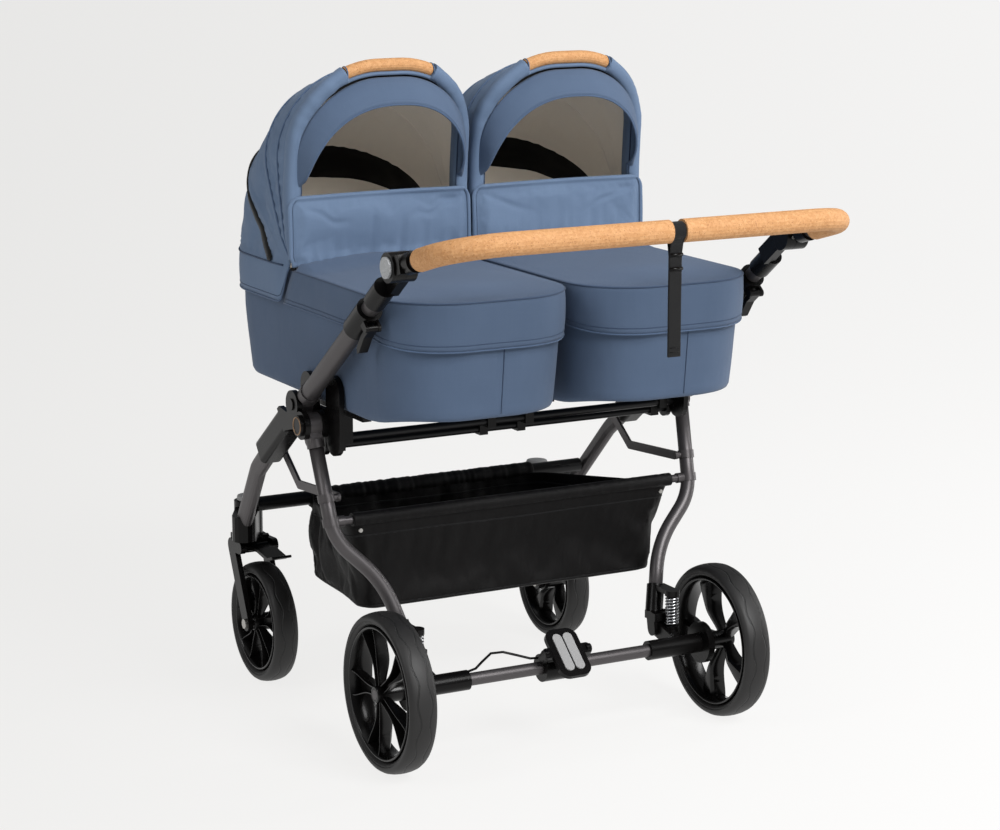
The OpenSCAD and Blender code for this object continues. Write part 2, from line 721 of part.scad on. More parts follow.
tyre_depth = 22;
module rear_tyre(side) {
    placed() on_side(side) translate([rear_wheel_x, 0, axle_z]) tyre(rear_tyre_r, rear_tyre_w, tyre_depth);
}

module rear_rim(side) {
    half = rear_tyre_w / 2;
    r = rear_tyre_r - tyre_depth - run;
    placed() on_side(side) translate([rear_wheel_x, 0, axle_z]) {
        rim(r, rear_tyre_w, rear_stub_r + run, 26, half + 4 - gap, half - 1);
        color(BLACK) difference() {
            x_bar(half - 1, half + 6, 0, 0, 19);
            x_bar(half - 2, half + 3, 0, 0, rear_stub_r + 4);
        }
    }
}

module rear_tyre_left() { rear_tyre(-1); }
module rear_tyre_right() { rear_tyre(1); }
module rear_rim_left() { rear_rim(-1); }
module rear_rim_right() { rear_rim(1); }

front_axle_y = caster_y - caster_trail;
module at_front_wheel(side) {
    placed() on_side(side) translate([caster_x, front_axle_y, front_tyre_r]) children();
}

module front_tyre(side) {
    at_front_wheel(side) tyre(front_tyre_r, front_tyre_w, tyre_depth);
}

fork_in = front_tyre_w / 2 + 4;
fork_t = 10;
module front_rim(side) {
    at_front_wheel(side) rim(front_tyre_r - tyre_depth - run, front_tyre_w, front_axle_r + run, 18,
        fork_in - gap, fork_in - gap);
}

module front_tyre_left() { front_tyre(-1); }
module front_tyre_right() { front_tyre(1); }
module front_rim_left() { front_rim(-1); }
module front_rim_right() { front_rim(1); }

module front_axle(side) {
    end = fork_in + fork_t;
    color(CHROME) at_front_wheel(side) {
        x_bar(-end, end, 0, 0, front_axle_r);
        for (s = [-1, 1])
            x_bar(s * end - (s < 0 ? 4 : 0), s * end + (s > 0 ? 4 : 0), 0, 0, front_axle_r + 4);
    }
}

module front_axle_left() { front_axle(-1); }
module front_axle_right() { front_axle(1); }

// Caster fork: two arms, a crown over the wheel and a stem up into the barrel
crown_z = 2 * front_tyre_r + 12;
lever_at = [caster_y - 40, crown_z + 14];
lever_pin_r = 3;
lever_half = 19;
module fork(side) {
    color(BLACK) placed() on_side(side) difference() {
        union() {
            for (s = [-1, 1]) {
                mid = caster_x + s * (fork_in + fork_t / 2);
                plate(mid - fork_t / 2, mid + fork_t / 2) {
                    link2d([caster_y - 2, crown_z + 12], [front_axle_y, front_tyre_r], 28);
                    link2d([caster_y - 6, crown_z + 12], lever_at, 22);
                }
            }
            translate([caster_x - fork_in - 1, caster_y - 26, crown_z])
                cube([2 * fork_in + 2, 46, barrel_z - gap - crown_z]);
            translate([caster_x, caster_y, crown_z + 4])
                cylinder(r = stem_r, h = barrel_z + barrel_len - 6 - crown_z - 4);
            x_bar(caster_x - fork_in, caster_x + fork_in, lever_at.x, lever_at.y, lever_pin_r);
        }
        x_bar(caster_x - fork_in - fork_t - 1, caster_x + fork_in + fork_t + 1, front_axle_y, front_tyre_r,
            front_axle_r + run);
    }
}

module fork_left() { fork(-1); }
module fork_right() { fork(1); }

// Foot lever that locks the swivel, a broad lip over the back of the wheel
module lock_lever(side) {
    tip = [lever_at.x - 108, lever_at.y + 4];
    color(BLACK) placed() on_side(side) difference() {
        plate(caster_x - lever_half, caster_x + lever_half) {
            translate(lever_at) circle(7);
            link2d(lever_at, [lever_at.x - 40, lever_at.y + 3], 6);
            link2d([lever_at.x - 40, lever_at.y + 3], [tip.x + 22, tip.y - 7], 6);
            link2d([tip.x + 22, tip.y - 7], tip, 5);
        }
        x_bar(caster_x - 30, caster_x + 30, lever_at.x, lever_at.y, lever_pin_r + run);
    }
}

module lock_lever_left() { lock_lever(-1); }
module lock_lever_right() { lock_lever(1); }

// Handle: outer arms with the knuckles that turn in the hubs
arm_end = 300;
slide_low = 170;
module push_arms() {
    color(GRAPHITE) placed() both_sides() difference() {
        union() {
            x_bar(frame_x - knuckle_t / 2, frame_x + knuckle_t / 2, fold_y, fold_z, 20);
            along_arm(0) translate([-knuckle_t / 2, -14, 0]) cube([knuckle_t, 28, 32]);
            along_arm(lobe_r + 3) cylinder(r = arm_r + 2, h = 16);
            along_arm(lobe_r + 4) cylinder(r = arm_r, h = arm_end - lobe_r - 4);
        }
        x_bar(frame_x - knuckle_t, frame_x + knuckle_t, fold_y, fold_z, fold_pin_r + run);
        along_arm(slide_low - 10) cylinder(r = slide_r + run, h = arm_end);
    }
}

// Clamp collars at the tops of the outer arms, with lugs for the clamp levers
collar_low = 268;
collar_high = 333;
clamp_at = [322, -29];
clamp_half = 8;
clamp_pin_r = 2.5;
module arm_collars() {
    color(BLACK) placed() both_sides() difference() {
        union() {
            along_arm(collar_low) cylinder(r = collar_r, h = collar_high - collar_low);
            for (s = [-1, 1]) translate([frame_x + s * (clamp_half + 3), 0, 0])
                plate(-2.5, 2.5) in_arm_plane() link2d(clamp_at, [clamp_at.x - 4, -14], 13);
            x_bar(frame_x - clamp_half - 3, frame_x + clamp_half + 3, clamp_yz().x, clamp_yz().y,
                clamp_pin_r);
        }
        along_arm(collar_low - 1) cylinder(r = arm_r + run, h = arm_end - collar_low + 1 + seat);
        along_arm(arm_end) cylinder(r = slide_r + run, h = 100);
    }
}

// The clamp pivot in Y and Z
function clamp_yz() = [fold_y - clamp_at.x * cos(arm_tilt) + clamp_at.y * sin(arm_tilt),
    fold_z + clamp_at.x * sin(arm_tilt) + clamp_at.y * cos(arm_tilt)];

module clamp_lever(side) {
    color(BLACK) placed() on_side(side) difference() {
        plate(frame_x - clamp_half, frame_x + clamp_half) in_arm_plane() {
            translate(clamp_at) circle(5.6);
            polygon([clamp_at + [2, 5], clamp_at + [-28, 4], clamp_at + [-56, -4], clamp_at + [-60, -13],
                clamp_at + [-54, -15], clamp_at + [-22, -5], clamp_at + [2, -5]]);
        }
        x_bar(frame_x - 20, frame_x + 20, clamp_yz().x, clamp_yz().y, clamp_pin_r + run);
    }
}

module clamp_lever_left() { clamp_lever(-1); }
module clamp_lever_right() { clamp_lever(1); }

// Inner tubes that slide in the arms
base_low = 358;
base_high = 405;
module slide_tubes() {
    color(GRAPHITE) placed() both_sides() difference() {
        along_arm(slide_low) cylinder(r = slide_r, h = base_high - 5 - slide_low);
        along_arm(slide_low - 1) cylinder(r = slide_r - 2.5, h = base_high - slide_low);
    }
}

// Lower halves of the tilt joints: the half disc nearer the cots, and its pin
joint_in = frame_x - 21;
joint_mid = frame_x - 2;
joint_out = frame_x + 22;
tilt_pin_r = 6;
button_r = 17;
button_t = 9;
module tilt_bases() {
    color(BLACK) placed() both_sides() difference() {
        union() {
            along_arm(base_low) cylinder(r = slide_r + 4.5, h = base_high - base_low);
            along_arm(base_high - 4) translate([joint_in + 0.8 - frame_x, -15, 0])
                cube([joint_mid - joint_in - 1.6, 30, tilt_s - base_high + 4]);
            x_bar(joint_in, joint_mid, tilt_at.y, tilt_at.z, tilt_r);
            x_bar(joint_in + 3, joint_out - button_t - 1, tilt_at.y, tilt_at.z, tilt_pin_r);
        }
        along_arm(base_low - 1) cylinder(r = slide_r + run, h = base_high - base_low - 4);
    }
}

// Upper halves of the tilt joints, with pockets for the buttons and sleeves for the handle tube
head_low = 34;
head_high = 60;
module tilt_heads() {
    color(BLACK) placed() both_sides() difference() {
        union() {
            x_bar(joint_mid + gap, joint_out, tilt_at.y, tilt_at.z, tilt_r);
            along_handle(0) translate([joint_mid + gap - frame_x, -15, 0])
                cube([joint_out - 3 - joint_mid - gap, 30, head_low + 4]);
            along_handle(head_low) cylinder(r = handle_r + 5, h = head_high - head_low);
        }
        x_bar(joint_mid, joint_out, tilt_at.y, tilt_at.z, tilt_pin_r + run);
        x_bar(joint_out - button_t, joint_out + 1, tilt_at.y, tilt_at.z, button_r + run);
        along_handle(head_low + 4) cylinder(r = handle_r + run, h = head_high);
    }
}

module tilt_button(side) {
    color(PALE) placed() on_side(side)
        x_bar(joint_out - button_t + 4, joint_out + 4, tilt_at.y, tilt_at.z, button_r);
}

module tilt_button_left() { tilt_button(-1); }
module tilt_button_right() { tilt_button(1); }

// A point of the handle at this X and this distance from the tilt joint
function on_handle(x, d) = [x, 0, 0] + tilt_at + d * grip_dir;
handle_normal = cross([1, 0, 0], grip_dir);

module handle_tube() {
    start = head_low + 4 + seat;
    path = stations([on_handle(frame_x, start), on_handle(frame_x, handle_reach),
        on_handle(-frame_x, handle_reach), on_handle(-frame_x, start)], handle_bend, 10);
    color(GRAPHITE) placed() skin(carried(path, handle_normal, round_profile(handle_r)));
}

strap_x = 15;
grip_start = 76;
module grip_half(end) {
    side = end > strap_x ? 1 : -1;
    inner = strap_x + side * (strap_w / 2 + 1);
    path = stations([on_handle(end, grip_start), on_handle(end, handle_reach),
        on_handle(inner, handle_reach)], handle_bend, 10);
    loop_skin(concat(carried(path, handle_normal, round_profile(grip_r)),
        reversed(carried(path, handle_normal, round_profile(handle_r + run)))));
}

module handle_grips() {
    color(CORK) placed() {
        grip_half(frame_x);
        grip_half(-frame_x);
    }
}

// Wrist strap: a loop round the handle and a doubled band that hangs from it
module wrist_strap() {
    loop_r = handle_r + 2.4;
    color(BLACK) placed() translate([strap_x - strap_w / 2, grip_at.y, grip_at.z]) difference() {
        union() {
            x_bar(0, strap_w, 0, 0, loop_r);
            translate([0, -1.6, -strap_len]) cube([strap_w, 3.2, strap_len - handle_r]);
        }
        x_bar(-1, strap_w + 1, 0, 0, handle_r + run);
    }
}

// Carrycots, drawn round X = 0 and moved to their own side
module in_cot(side) {
    placed() translate([side * cot_x, 0, 0]) children();
}

// Outline of the shell at a share of its height, inset by a wall
shell_head = cot_head_y - cover_t - 3;
floor_foot = 18 - cot_foot_y;
floor_head = shell_head - 30;
function shell_ring(t, inset, z) = ring(lerp(cot_floor_half + 4, cot_half, min(1, t * 1.8)) - inset,
    lerp(floor_foot, -cot_foot_y, pow(t, 1.15)) + inset,
    lerp(floor_head, shell_head, min(1, t * 1.5)) - inset,
    lerp(112, 122, t) - inset, z, lerp(130, 154, min(1, t * 1.5)) - inset);

module cot_shell(side) {
    h = cot_rim_z - cot_floor_z;
    w = cot_wall;
    color(FABRIC) in_cot(side) skin(concat(
        [ring(cot_floor_half - 8, floor_foot + 13, floor_head - 12, 100, cot_floor_z, 118)],
        [for (t = [0.06, 0.25, 0.5, 0.75, 1]) shell_ring(t, 0, cot_floor_z + t * h)],
        [for (t = [1, 0.6, 0.3, 0.08]) shell_ring(t, w, cot_floor_z + t * h)]));
}

// Crowned mattress on the floor of the shell
mattress_t = 42;
module mattress(side) {
    low = cot_floor_z + 0.08 * (cot_rim_z - cot_floor_z) + seat;
    half = cot_floor_half - cot_wall - 6;
    layer = function(inset, z) ring(half - inset, floor_foot + 16 + inset, floor_head - 15 - inset,
        96 - inset * 0.6, low + z, 118 - inset * 0.6);
    color("#e8e6e0") in_cot(side) skin([layer(8, 0), layer(1, 8), layer(0, 20), layer(4, mattress_t - 12),
        layer(14, mattress_t - 5), layer(40, mattress_t), layer(80, mattress_t + 3)]);
}

module cot_shell_left() { cot_shell(-1); }
module cot_shell_right() { cot_shell(1); }
module mattress_left() { mattress(-1); }
module mattress_right() { mattress(1); }

// Apron over the foot end: a crowned top, and a skirt outside the shell with slanted front edges
apron_front = flap_y + 8;
apron_hem = 60;
apron_corner = 6;
module apron(side) {
    top = cot_rim_z + seat;
    foot = -cot_foot_y - 2 - cover_t;
    edge = function(inset, z) ring(cover_half - inset, foot + inset, apron_front - inset * 0.12,
        118 - inset, z, apron_corner);
    hem = function(inset) let (low = cot_rim_z - apron_hem) [for (p = edge(inset, top))
        p.y > apron_front - apron_corner - 2
            ? let (t = min(1, (cover_half - inset - abs(p.x)) / 0.7))
                [p.x, lerp(apron_front + 44, p.y, t), lerp(low - 1, p.z, t)]
            : [p.x, p.y, low - 16 * max(0, -p.y / cot_foot_y)]];
    color(FABRIC) in_cot(side) skin([edge(80, top + cover_t + 9), edge(44, top + cover_t + 7),
        edge(10, top + cover_t + 1.5), edge(0, top + cover_t - 1.5),
        hem(0), hem(cover_t), edge(cover_t + 1, top), edge(30, top + 2), edge(80, top + 4)]);
}

module apron_left() { apron(-1); }
module apron_right() { apron(1); }

// Wind flap that stands across the cot and folds down over the apron
flap_axis_z = cot_rim_z + 26;
flap_t = 9;
module wind_flap(side) {
    low = flap_axis_z - 8;
    color(FABRIC) in_cot(side) translate([0, flap_y + flap_t / 2, low + flap_h / 2]) rotate([90, 0, 0])
        linear_extrude(flap_t) rounded(2 * cover_half - 6, flap_h, 16);
}

module wind_flap_left() { wind_flap(-1); }
module wind_flap_right() { wind_flap(1); }

// Hood: arches in planes that fan out from the hood's pivot line
hood_wall = cover_t + 2 - seat;
hood_foot = 8;
hood_level_r = 158;
hood_front_r = 146;
hood_front = 88;
// Reach of the hood from its pivot line at angle a above level
function hood_reach(a) = let (u = [cos(a) / (cot_head_y - hood_y), sin(a) / (hood_rise - 10)], q = 1.92)
    1 / pow(pow(abs(u.x), q) + pow(abs(u.y), q), 1 / q);
function smooth(t) = let (u = max(0, min(1, t))) u * u * (3 - 2 * u);
// The bow leans back a little as it rises
function lean(r) = 8 * smooth((r - 60) / (hood_rise - 80));
// Half outline of an arch as distance from the middle and from the pivot line
arch_turn = 8;
function arch_side(half, reach, r) = concat(
    [[half, hood_foot], [half, hood_foot + 40], [half, 90], [half, 140]],
    [for (k = [0:arch_turn]) let (v = 90 * k / arch_turn) [half - r + r * cos(v), reach - r + r * sin(v)]]);
// Arch at angle a, with an inset, a share of the bow's lean and an extra lean over the cot
function arch(a, inset, share, brim) = let (
        t = max(0, min(1, a / hood_front)), reach = hood_reach(a) - inset,
        r = lerp(hood_level_r, hood_front_r, t) - inset,
        side = arch_side(cover_half - inset, reach, r))
    [for (q = concat(side, [for (w = reversed(side)) [-w.x, w.y]]))
        let (b = a + share * lean(q.y) + brim * smooth((q.y - 116) / 70),
            d = q.y * (1 - 0.0065 * brim * smooth((q.y - 200) / 100)))
        [q.x * (1 - 0.004 * brim * smooth((q.y - 116) / 70)), hood_y + d * cos(b), hood_z + d * sin(b)]];
function reversed(list) = [for (i = [len(list) - 1:-1:0]) list[i]];
function hood_ring(a, share, brim) = concat(arch(a, 0, share, brim),
    reversed(arch(a, hood_wall, share, brim)));

module canopy(side) {
    level = hood_ring(0, 0, 0);
    hem = [for (p = level) p - [0, 0, 64 * smooth((p.y - hood_y - hood_foot) / 36) + 4]];
    color(FABRIC) in_cot(side) arch_skin(concat([hem],
        [for (k = [0:8]) hood_ring(hood_front * k / 8, pow(k / 8, 2), 0)]));
}

module canopy_left() { canopy(-1); }
module canopy_right() { canopy(1); }

// Stiff front of the hood: a cloth covered bow with a brim that leans out over the cot
module hood_bow(side) {
    color(FABRIC) in_cot(side) arch_skin([for (b = [[0.3, 0], [2.2, 0], [2.2, 6], [2.2, 13.5]])
        hood_ring(hood_front + b[0], 1, b[1])]);
}

module hood_bow_left() { hood_bow(-1); }
module hood_bow_right() { hood_bow(1); }

// Cork carrying grip that follows the top of a hood bow
hood_grip_r = 11;
module hood_grip(side) {
    a = hood_front + 1 + lean(hood_rise);
    r = hood_reach(hood_front) + hood_grip_r + seat;
    flat = cover_half - hood_front_r;
    on_arch = function(x) let (over = max(0, abs(x) - flat), q = hood_front_r + hood_grip_r)
        r - q + sqrt(q * q - over * over);
    path = [for (k = [-6:6]) let (x = hood_grip_len / 12 * k, d = on_arch(x))
        [x, hood_y + d * cos(a), hood_z + d * sin(a)]];
    color(CORK) in_cot(side) swept(path, hood_grip_r, 16);
}

module hood_grip_left() { hood_grip(-1); }
module hood_grip_right() { hood_grip(1); }

front_legs();
cross_bars();
hubs();
pivot_bolts();
cot_carriers();
caster_barrels();
basket();
rear_leg_tubes();
leg_knuckles();
basket_rod();
spring_brackets();
strut_left();
strut_right();
rear_axle();
swing_arms();
brake_housing();
brake_cable();
rear_springs();
brake_pedal();
pedal_pads();
rear_tyre_left();
rear_tyre_right();
rear_rim_left();
rear_rim_right();
fork_left();
fork_right();
front_axle_left();
front_axle_right();
lock_lever_left();
lock_lever_right();
front_tyre_left();
front_tyre_right();
front_rim_left();
front_rim_right();
push_arms();
arm_collars();
clamp_lever_left();
clamp_lever_right();
slide_tubes();
tilt_bases();
handle_tube();
tilt_heads();
handle_grips();
wrist_strap();
tilt_button_left();
tilt_button_right();
cot_shell_left();
cot_shell_right();
mattress_left();
mattress_right();
apron_left();
apron_right();
wind_flap_left();
wind_flap_right();
hood_bow_left();
hood_bow_right();
canopy_left();
canopy_right();
hood_grip_left();
hood_grip_right();
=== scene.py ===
# %% [markdown]
# # A twin pram, dressed around its frame
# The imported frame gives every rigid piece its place: tubes, hubs, wheels and the plain solids of the soft
# covers. This lesson puts the looks on top. Soft pieces are made again as sewn cloth, and rigid pieces get
# finishes with grain, speckle and wear. One unit is a metre, +Z is up and +Y is the way the pram travels.

# %% Load the frame
import math

import bmesh
import bpy
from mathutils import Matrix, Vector, noise


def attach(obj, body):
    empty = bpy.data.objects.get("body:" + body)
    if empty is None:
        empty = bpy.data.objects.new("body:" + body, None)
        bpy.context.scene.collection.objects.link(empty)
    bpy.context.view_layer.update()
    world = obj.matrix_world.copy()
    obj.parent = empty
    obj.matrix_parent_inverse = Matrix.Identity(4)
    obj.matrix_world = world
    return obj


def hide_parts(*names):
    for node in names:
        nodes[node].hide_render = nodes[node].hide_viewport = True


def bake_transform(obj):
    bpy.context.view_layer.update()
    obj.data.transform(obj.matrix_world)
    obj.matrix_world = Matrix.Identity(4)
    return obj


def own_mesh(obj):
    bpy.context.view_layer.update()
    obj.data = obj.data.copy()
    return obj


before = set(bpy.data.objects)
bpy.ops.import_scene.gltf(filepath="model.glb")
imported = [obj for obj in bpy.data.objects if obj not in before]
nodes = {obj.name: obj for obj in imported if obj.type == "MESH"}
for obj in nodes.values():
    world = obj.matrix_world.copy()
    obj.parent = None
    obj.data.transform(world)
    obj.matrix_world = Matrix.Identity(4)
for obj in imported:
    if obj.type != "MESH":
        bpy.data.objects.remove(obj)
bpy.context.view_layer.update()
bpy.ops.object.select_all(action="DESELECT")
MM = 0.001
print("nodes loaded:", len(nodes))

# %% [markdown]
# ## Camera
# A product photographer stands well back and uses a long lens, so parallel edges stay nearly parallel. The
# view is from behind the handle, a little to the left and above. Lens and distance are set together: a long
# lens from far away keeps the wheels and the hoods at their true relative size.

# %% Camera
Y_SHIFT = -163.075   # the axle's place in the frame, so that the sizes below count from the rear axle


def at(x, y, z):
    """A point given in millimetres from the floor under the rear axle, as metres in the frame."""
    return Vector((x, y + Y_SHIFT, z)) * MM


camera_data = bpy.data.cameras.new("photo_camera")
camera_data.lens = 97.3
camera_data.sensor_width = 36
camera_data.clip_end = 200
camera = bpy.data.objects.new("photo_camera", camera_data)
bpy.context.scene.collection.objects.link(camera)
camera.location = at(-2176, -3843, 1508)
view_target = at(-12, 190, 536)
camera.rotation_euler = (view_target - camera.location).to_track_quat("-Z", "Y").to_euler()
bpy.context.scene.camera = camera
bpy.context.scene.view_settings.view_transform = "Standard"
print("camera stands", round((view_target - camera.location).length, 2), "m away")

# %% [markdown]
# ## Light and floor
# A studio lights dark tubes with a few large lamps: each one shows as a long bright streak, and the rest
# stays dark. The key lamp stands to the right behind the camera, one hangs above, and a tall strip stands on
# each side. A weak even world fills the shadows. The floor is one large pale plane that glows like a lit
# backdrop, so that it stays nearly white, and it glows a little less on the left.

# %% Light and floor
world = bpy.data.worlds.new("soft_room")
bpy.context.scene.world = world
world.use_nodes = True
world.node_tree.nodes["Background"].inputs["Color"].default_value = (0.97, 0.985, 1.0, 1)
world.node_tree.nodes["Background"].inputs["Strength"].default_value = 0.16


def softbox(name, place, wide, tall, power):
    """A rectangular lamp that points at the middle of the pram."""
    data = bpy.data.lights.new(name, "AREA")
    data.shape, data.size, data.size_y, data.energy = "RECTANGLE", wide, tall, power
    lamp = bpy.data.objects.new(name, data)
    lamp.location = at(*place)
    lamp.rotation_euler = (at(0, 200, 600) - lamp.location).to_track_quat("-Z", "Y").to_euler()
    bpy.context.scene.collection.objects.link(lamp)


softbox("key_light", (700, -3300, 3300), 2.0, 2.0, 242)
softbox("top_light", (-200, 300, 3600), 2.6, 2.6, 15)
softbox("left_strip", (-2900, -500, 2500), 0.8, 2.4, 37)
softbox("right_strip", (3200, -300, 1500), 0.6, 2.6, 45)
FLOOR_MIDDLE = 30   # metres: most of the floor lies beyond the pram
bpy.ops.mesh.primitive_plane_add(size=120, location=(0, FLOOR_MIDDLE, -0.0005))
floor = bpy.context.object
floor.name = "floor"

# %% [markdown]
# ## Shader maths as plain expressions
# A material is a graph of small nodes. Writing it as arithmetic is easier to read, so one class wraps a
# socket and turns + - * into Math nodes, and one method adds any other node by its type.

# %% Shader helpers


class Val:
    """A socket that can be used in arithmetic."""

    def __init__(self, finish, socket):
        self.finish, self.socket = finish, socket

    def math(self, operation, *others, clamp=False):
        values = [self, *others]
        return self.finish.node("ShaderNodeMath", {"operation": operation, "use_clamp": clamp},
                                dict(enumerate(values)))

    def __add__(self, other): return self.math("ADD", other)
    def __radd__(self, other): return self.math("ADD", other)
    def __sub__(self, other): return self.math("SUBTRACT", other)
    def __rsub__(self, other): return self.finish.wrap(other).math("SUBTRACT", self)
    def __mul__(self, other): return self.math("MULTIPLY", other)
    def __rmul__(self, other): return self.math("MULTIPLY", other)
    def __pow__(self, other): return self.math("POWER", other)


class Finish:
    """A material whose nodes are added by expressions."""

    def __init__(self, name):
        self.material = bpy.data.materials.new(name)
        self.material.use_nodes = True
        self.tree = self.material.node_tree
        self.shader = self.tree.nodes["Principled BSDF"]

    def node(self, kind, settings=None, inputs=None, out=0):
        made = self.tree.nodes.new(kind)
        for key, value in (settings or {}).items():
            if key == "stops":
                ramp = made.color_ramp.elements
                while len(ramp) < len(value):
                    ramp.new(0.5)
                for stop, (place, colour) in zip(ramp, value):
                    stop.position, stop.color = place, (*colour, 1) if len(colour) == 3 else colour
            else:
                setattr(made, key, value)
        for key, value in (inputs or {}).items():
            if isinstance(value, Val):
                self.tree.links.new(value.socket, made.inputs[key])
            elif value is not None:
                made.inputs[key].default_value = value
        return Val(self, made.outputs[out])

    def wrap(self, number):
        made = self.tree.nodes.new("ShaderNodeValue")
        made.outputs[0].default_value = number
        return Val(self, made.outputs[0])

    def coords(self, which="Object", scale=(1, 1, 1), turn=(0, 0, 0)):
        source = self.tree.nodes.new("ShaderNodeTexCoord")
        return self.node("ShaderNodeMapping", {}, {"Vector": Val(self, source.outputs[which]), "Scale": scale,
                                                   "Rotation": turn})

    def noise(self, vector, scale, detail=3.0):
        return self.node("ShaderNodeTexNoise", {}, {"Vector": vector, "Scale": scale, "Detail": detail})

    def ramp(self, value, stops):
        return self.node("ShaderNodeValToRGB", {"stops": stops}, {"Fac": value})

    def mix(self, factor, first, second):
        return self.node("ShaderNodeMix", {"data_type": "RGBA"}, {0: factor, 6: first, 7: second}, out=2)

    def bump(self, height, strength, distance):
        settings = {"Height": height, "Strength": strength, "Distance": distance}
        self.link("Normal", self.node("ShaderNodeBump", {}, settings))

    def link(self, name, value):
        if isinstance(value, Val):
            self.tree.links.new(value.socket, self.shader.inputs[name])
        else:
            self.shader.inputs[name].default_value = value

    def set(self, **values):
        for name, value in values.items():
            self.link(name.replace("_", " "), value)
        return self.material


def rgb(r, g, b):
    """A colour as a screen shows it, 0 to 255, as linear light."""
    def line(c):
        c /= 255
        return c / 12.92 if c <= 0.04045 else ((c + 0.055) / 1.055) ** 2.4
    return (line(r), line(g), line(b), 1)


# %% Floor paint
floor_paint = Finish("floor_paint")
flat_x = floor_paint.node("ShaderNodeSeparateXYZ", {}, {0: floor_paint.coords("Object")})
flat_y = Val(floor_paint, flat_x.socket.node.outputs[1])
off_x, off_y = flat_x - camera.location.x, flat_y - (camera.location.y - FLOOR_MIDDLE)
to_right = camera.rotation_euler.to_matrix() @ Vector((1, 0, 0))
sideways = (off_x * to_right.x + off_y * to_right.y) * (off_x * off_x + off_y * off_y + 1.0) ** -0.5
dim, bright = (0.785, 0.780, 0.770), (0.900, 0.895, 0.888)
floor_paint.link("Emission Color", floor_paint.ramp(sideways * 1.6 + 0.5, [(0.15, dim), (0.85, bright)]))
floor_paint.set(Base_Color=(0.07, 0.07, 0.07, 1), Roughness=0.95, Specular_IOR_Level=0.0,
                Emission_Strength=1.0)
floor.data.materials.append(floor_paint.material)

# %% [markdown]
# ## Finishes
# Each finish is made once. Woven cloth reads the piece's own UV map, which is laid out in metres, so that the
# threads follow the sewn panel. Moulded and painted pieces read Object coordinates, because they don't bend.
# The cots, their aprons and the hood peaks wear a darker copy of the hood cloth: painted shade, for faces
# that get less light. The blue cloths, the lining and the nylon have soft creases in their bump.

# %% Cloth finishes


def woven(name, colour, dark, thread, sheen, strength=0.25, slub=0.1, creased=0.0, gloss=0.25, rough=0.72):
    """Plain weave: two sets of threads, a slow change of tone, a few thicker threads and soft creases."""
    f = Finish(name)
    uv = f.coords("UV")
    warp, weft = (f.node("ShaderNodeTexWave", {"wave_type": "BANDS", "bands_direction": axis},
                         {"Vector": uv, "Scale": 0.314 / thread, "Distortion": 0.6, "Detail": 1.0})
                  for axis in "XY")
    slow = f.noise(uv, 7.0, 3.0)
    streak = f.noise(f.coords("UV", (4, 220, 1)), 3.0, 2.0)
    streak_across = f.noise(f.coords("UV", (220, 4, 1)), 3.0, 2.0)
    weave = warp * weft
    tone = weave * 0.35 + slow * 0.45 + streak * slub + streak_across * slub
    colour_out = f.mix(tone.math("SUBTRACT", 0.18, clamp=True), dark, colour)
    threads = f.node("ShaderNodeBump", {}, {"Height": weave + streak * 0.4 + streak_across * 0.4,
                                            "Strength": strength, "Distance": 0.0004})
    if creased:
        soft = f.noise(f.coords("UV", (1, 0.45, 1), (0, 0, 0.5)), 16.0, 2.0)
        fine = f.noise(f.coords("UV", (1, 0.3, 1), (0, 0, -0.7)), 44.0, 1.5)
        threads = f.node("ShaderNodeBump", {}, {"Height": soft + fine * 0.3, "Strength": 1.0,
                                                "Distance": creased, "Normal": threads})
    f.link("Normal", threads)
    f.link("Base Color", colour_out)
    f.link("Roughness", slow * 0.12 + rough)
    return f.set(Sheen_Weight=sheen, Sheen_Roughness=0.45, Specular_IOR_Level=gloss)


BLUE = woven("blue_cloth", rgb(118, 138, 164), rgb(80, 98, 123), 0.0007, 0.07, creased=0.0016)
# The next cloth is the hood cloth drawn darker, for the cot bodies, aprons and hood peaks: painted shade.
SHADED_BLUE = woven("blue_cloth_painted_shade", rgb(94, 111, 136), rgb(63, 79, 102), 0.0007, 0.07, creased=0.0016)
BLUE_TRIM = woven("blue_piping", rgb(96, 117, 146), rgb(62, 80, 106), 0.0006, 0.15)
BLUE_DARK = woven("blue_seam", rgb(66, 84, 110), rgb(44, 58, 80), 0.0006, 0.1)
LINING = woven("pale_lining", rgb(240, 232, 220), rgb(222, 214, 202), 0.0006, 0.1, creased=0.006)
# Painted glow: the lining gets a faint emission in place of the daylight that comes through the thin cloth.
lining_shader = LINING.node_tree.nodes["Principled BSDF"].inputs   # daylight comes through the thin cloth
lining_shader["Emission Color"].default_value = rgb(240, 232, 220)
lining_shader["Emission Strength"].default_value = 0.04
BLACK_CLOTH = woven("black_cloth", rgb(14, 14, 14), rgb(6, 6, 6), 0.0006, 0.12, 0.2)
NYLON = woven("black_nylon", rgb(10, 8, 9), rgb(4, 3, 3), 0.0005, 0.02, 0.25, 0.15, 0.007, 0.16, 0.5)
NYLON_TRIM = woven("nylon_binding", rgb(22, 22, 23), rgb(10, 10, 11), 0.0009, 0.05)
MATTRESS = woven("mattress_cotton", rgb(232, 229, 222), rgb(205, 200, 190), 0.0006, 0.1)
WEBBING = woven("strap_webbing", rgb(24, 24, 25), rgb(9, 9, 10), 0.0011, 0.1, 0.5, 0.1)

# %% Cork, metal and moulded finishes


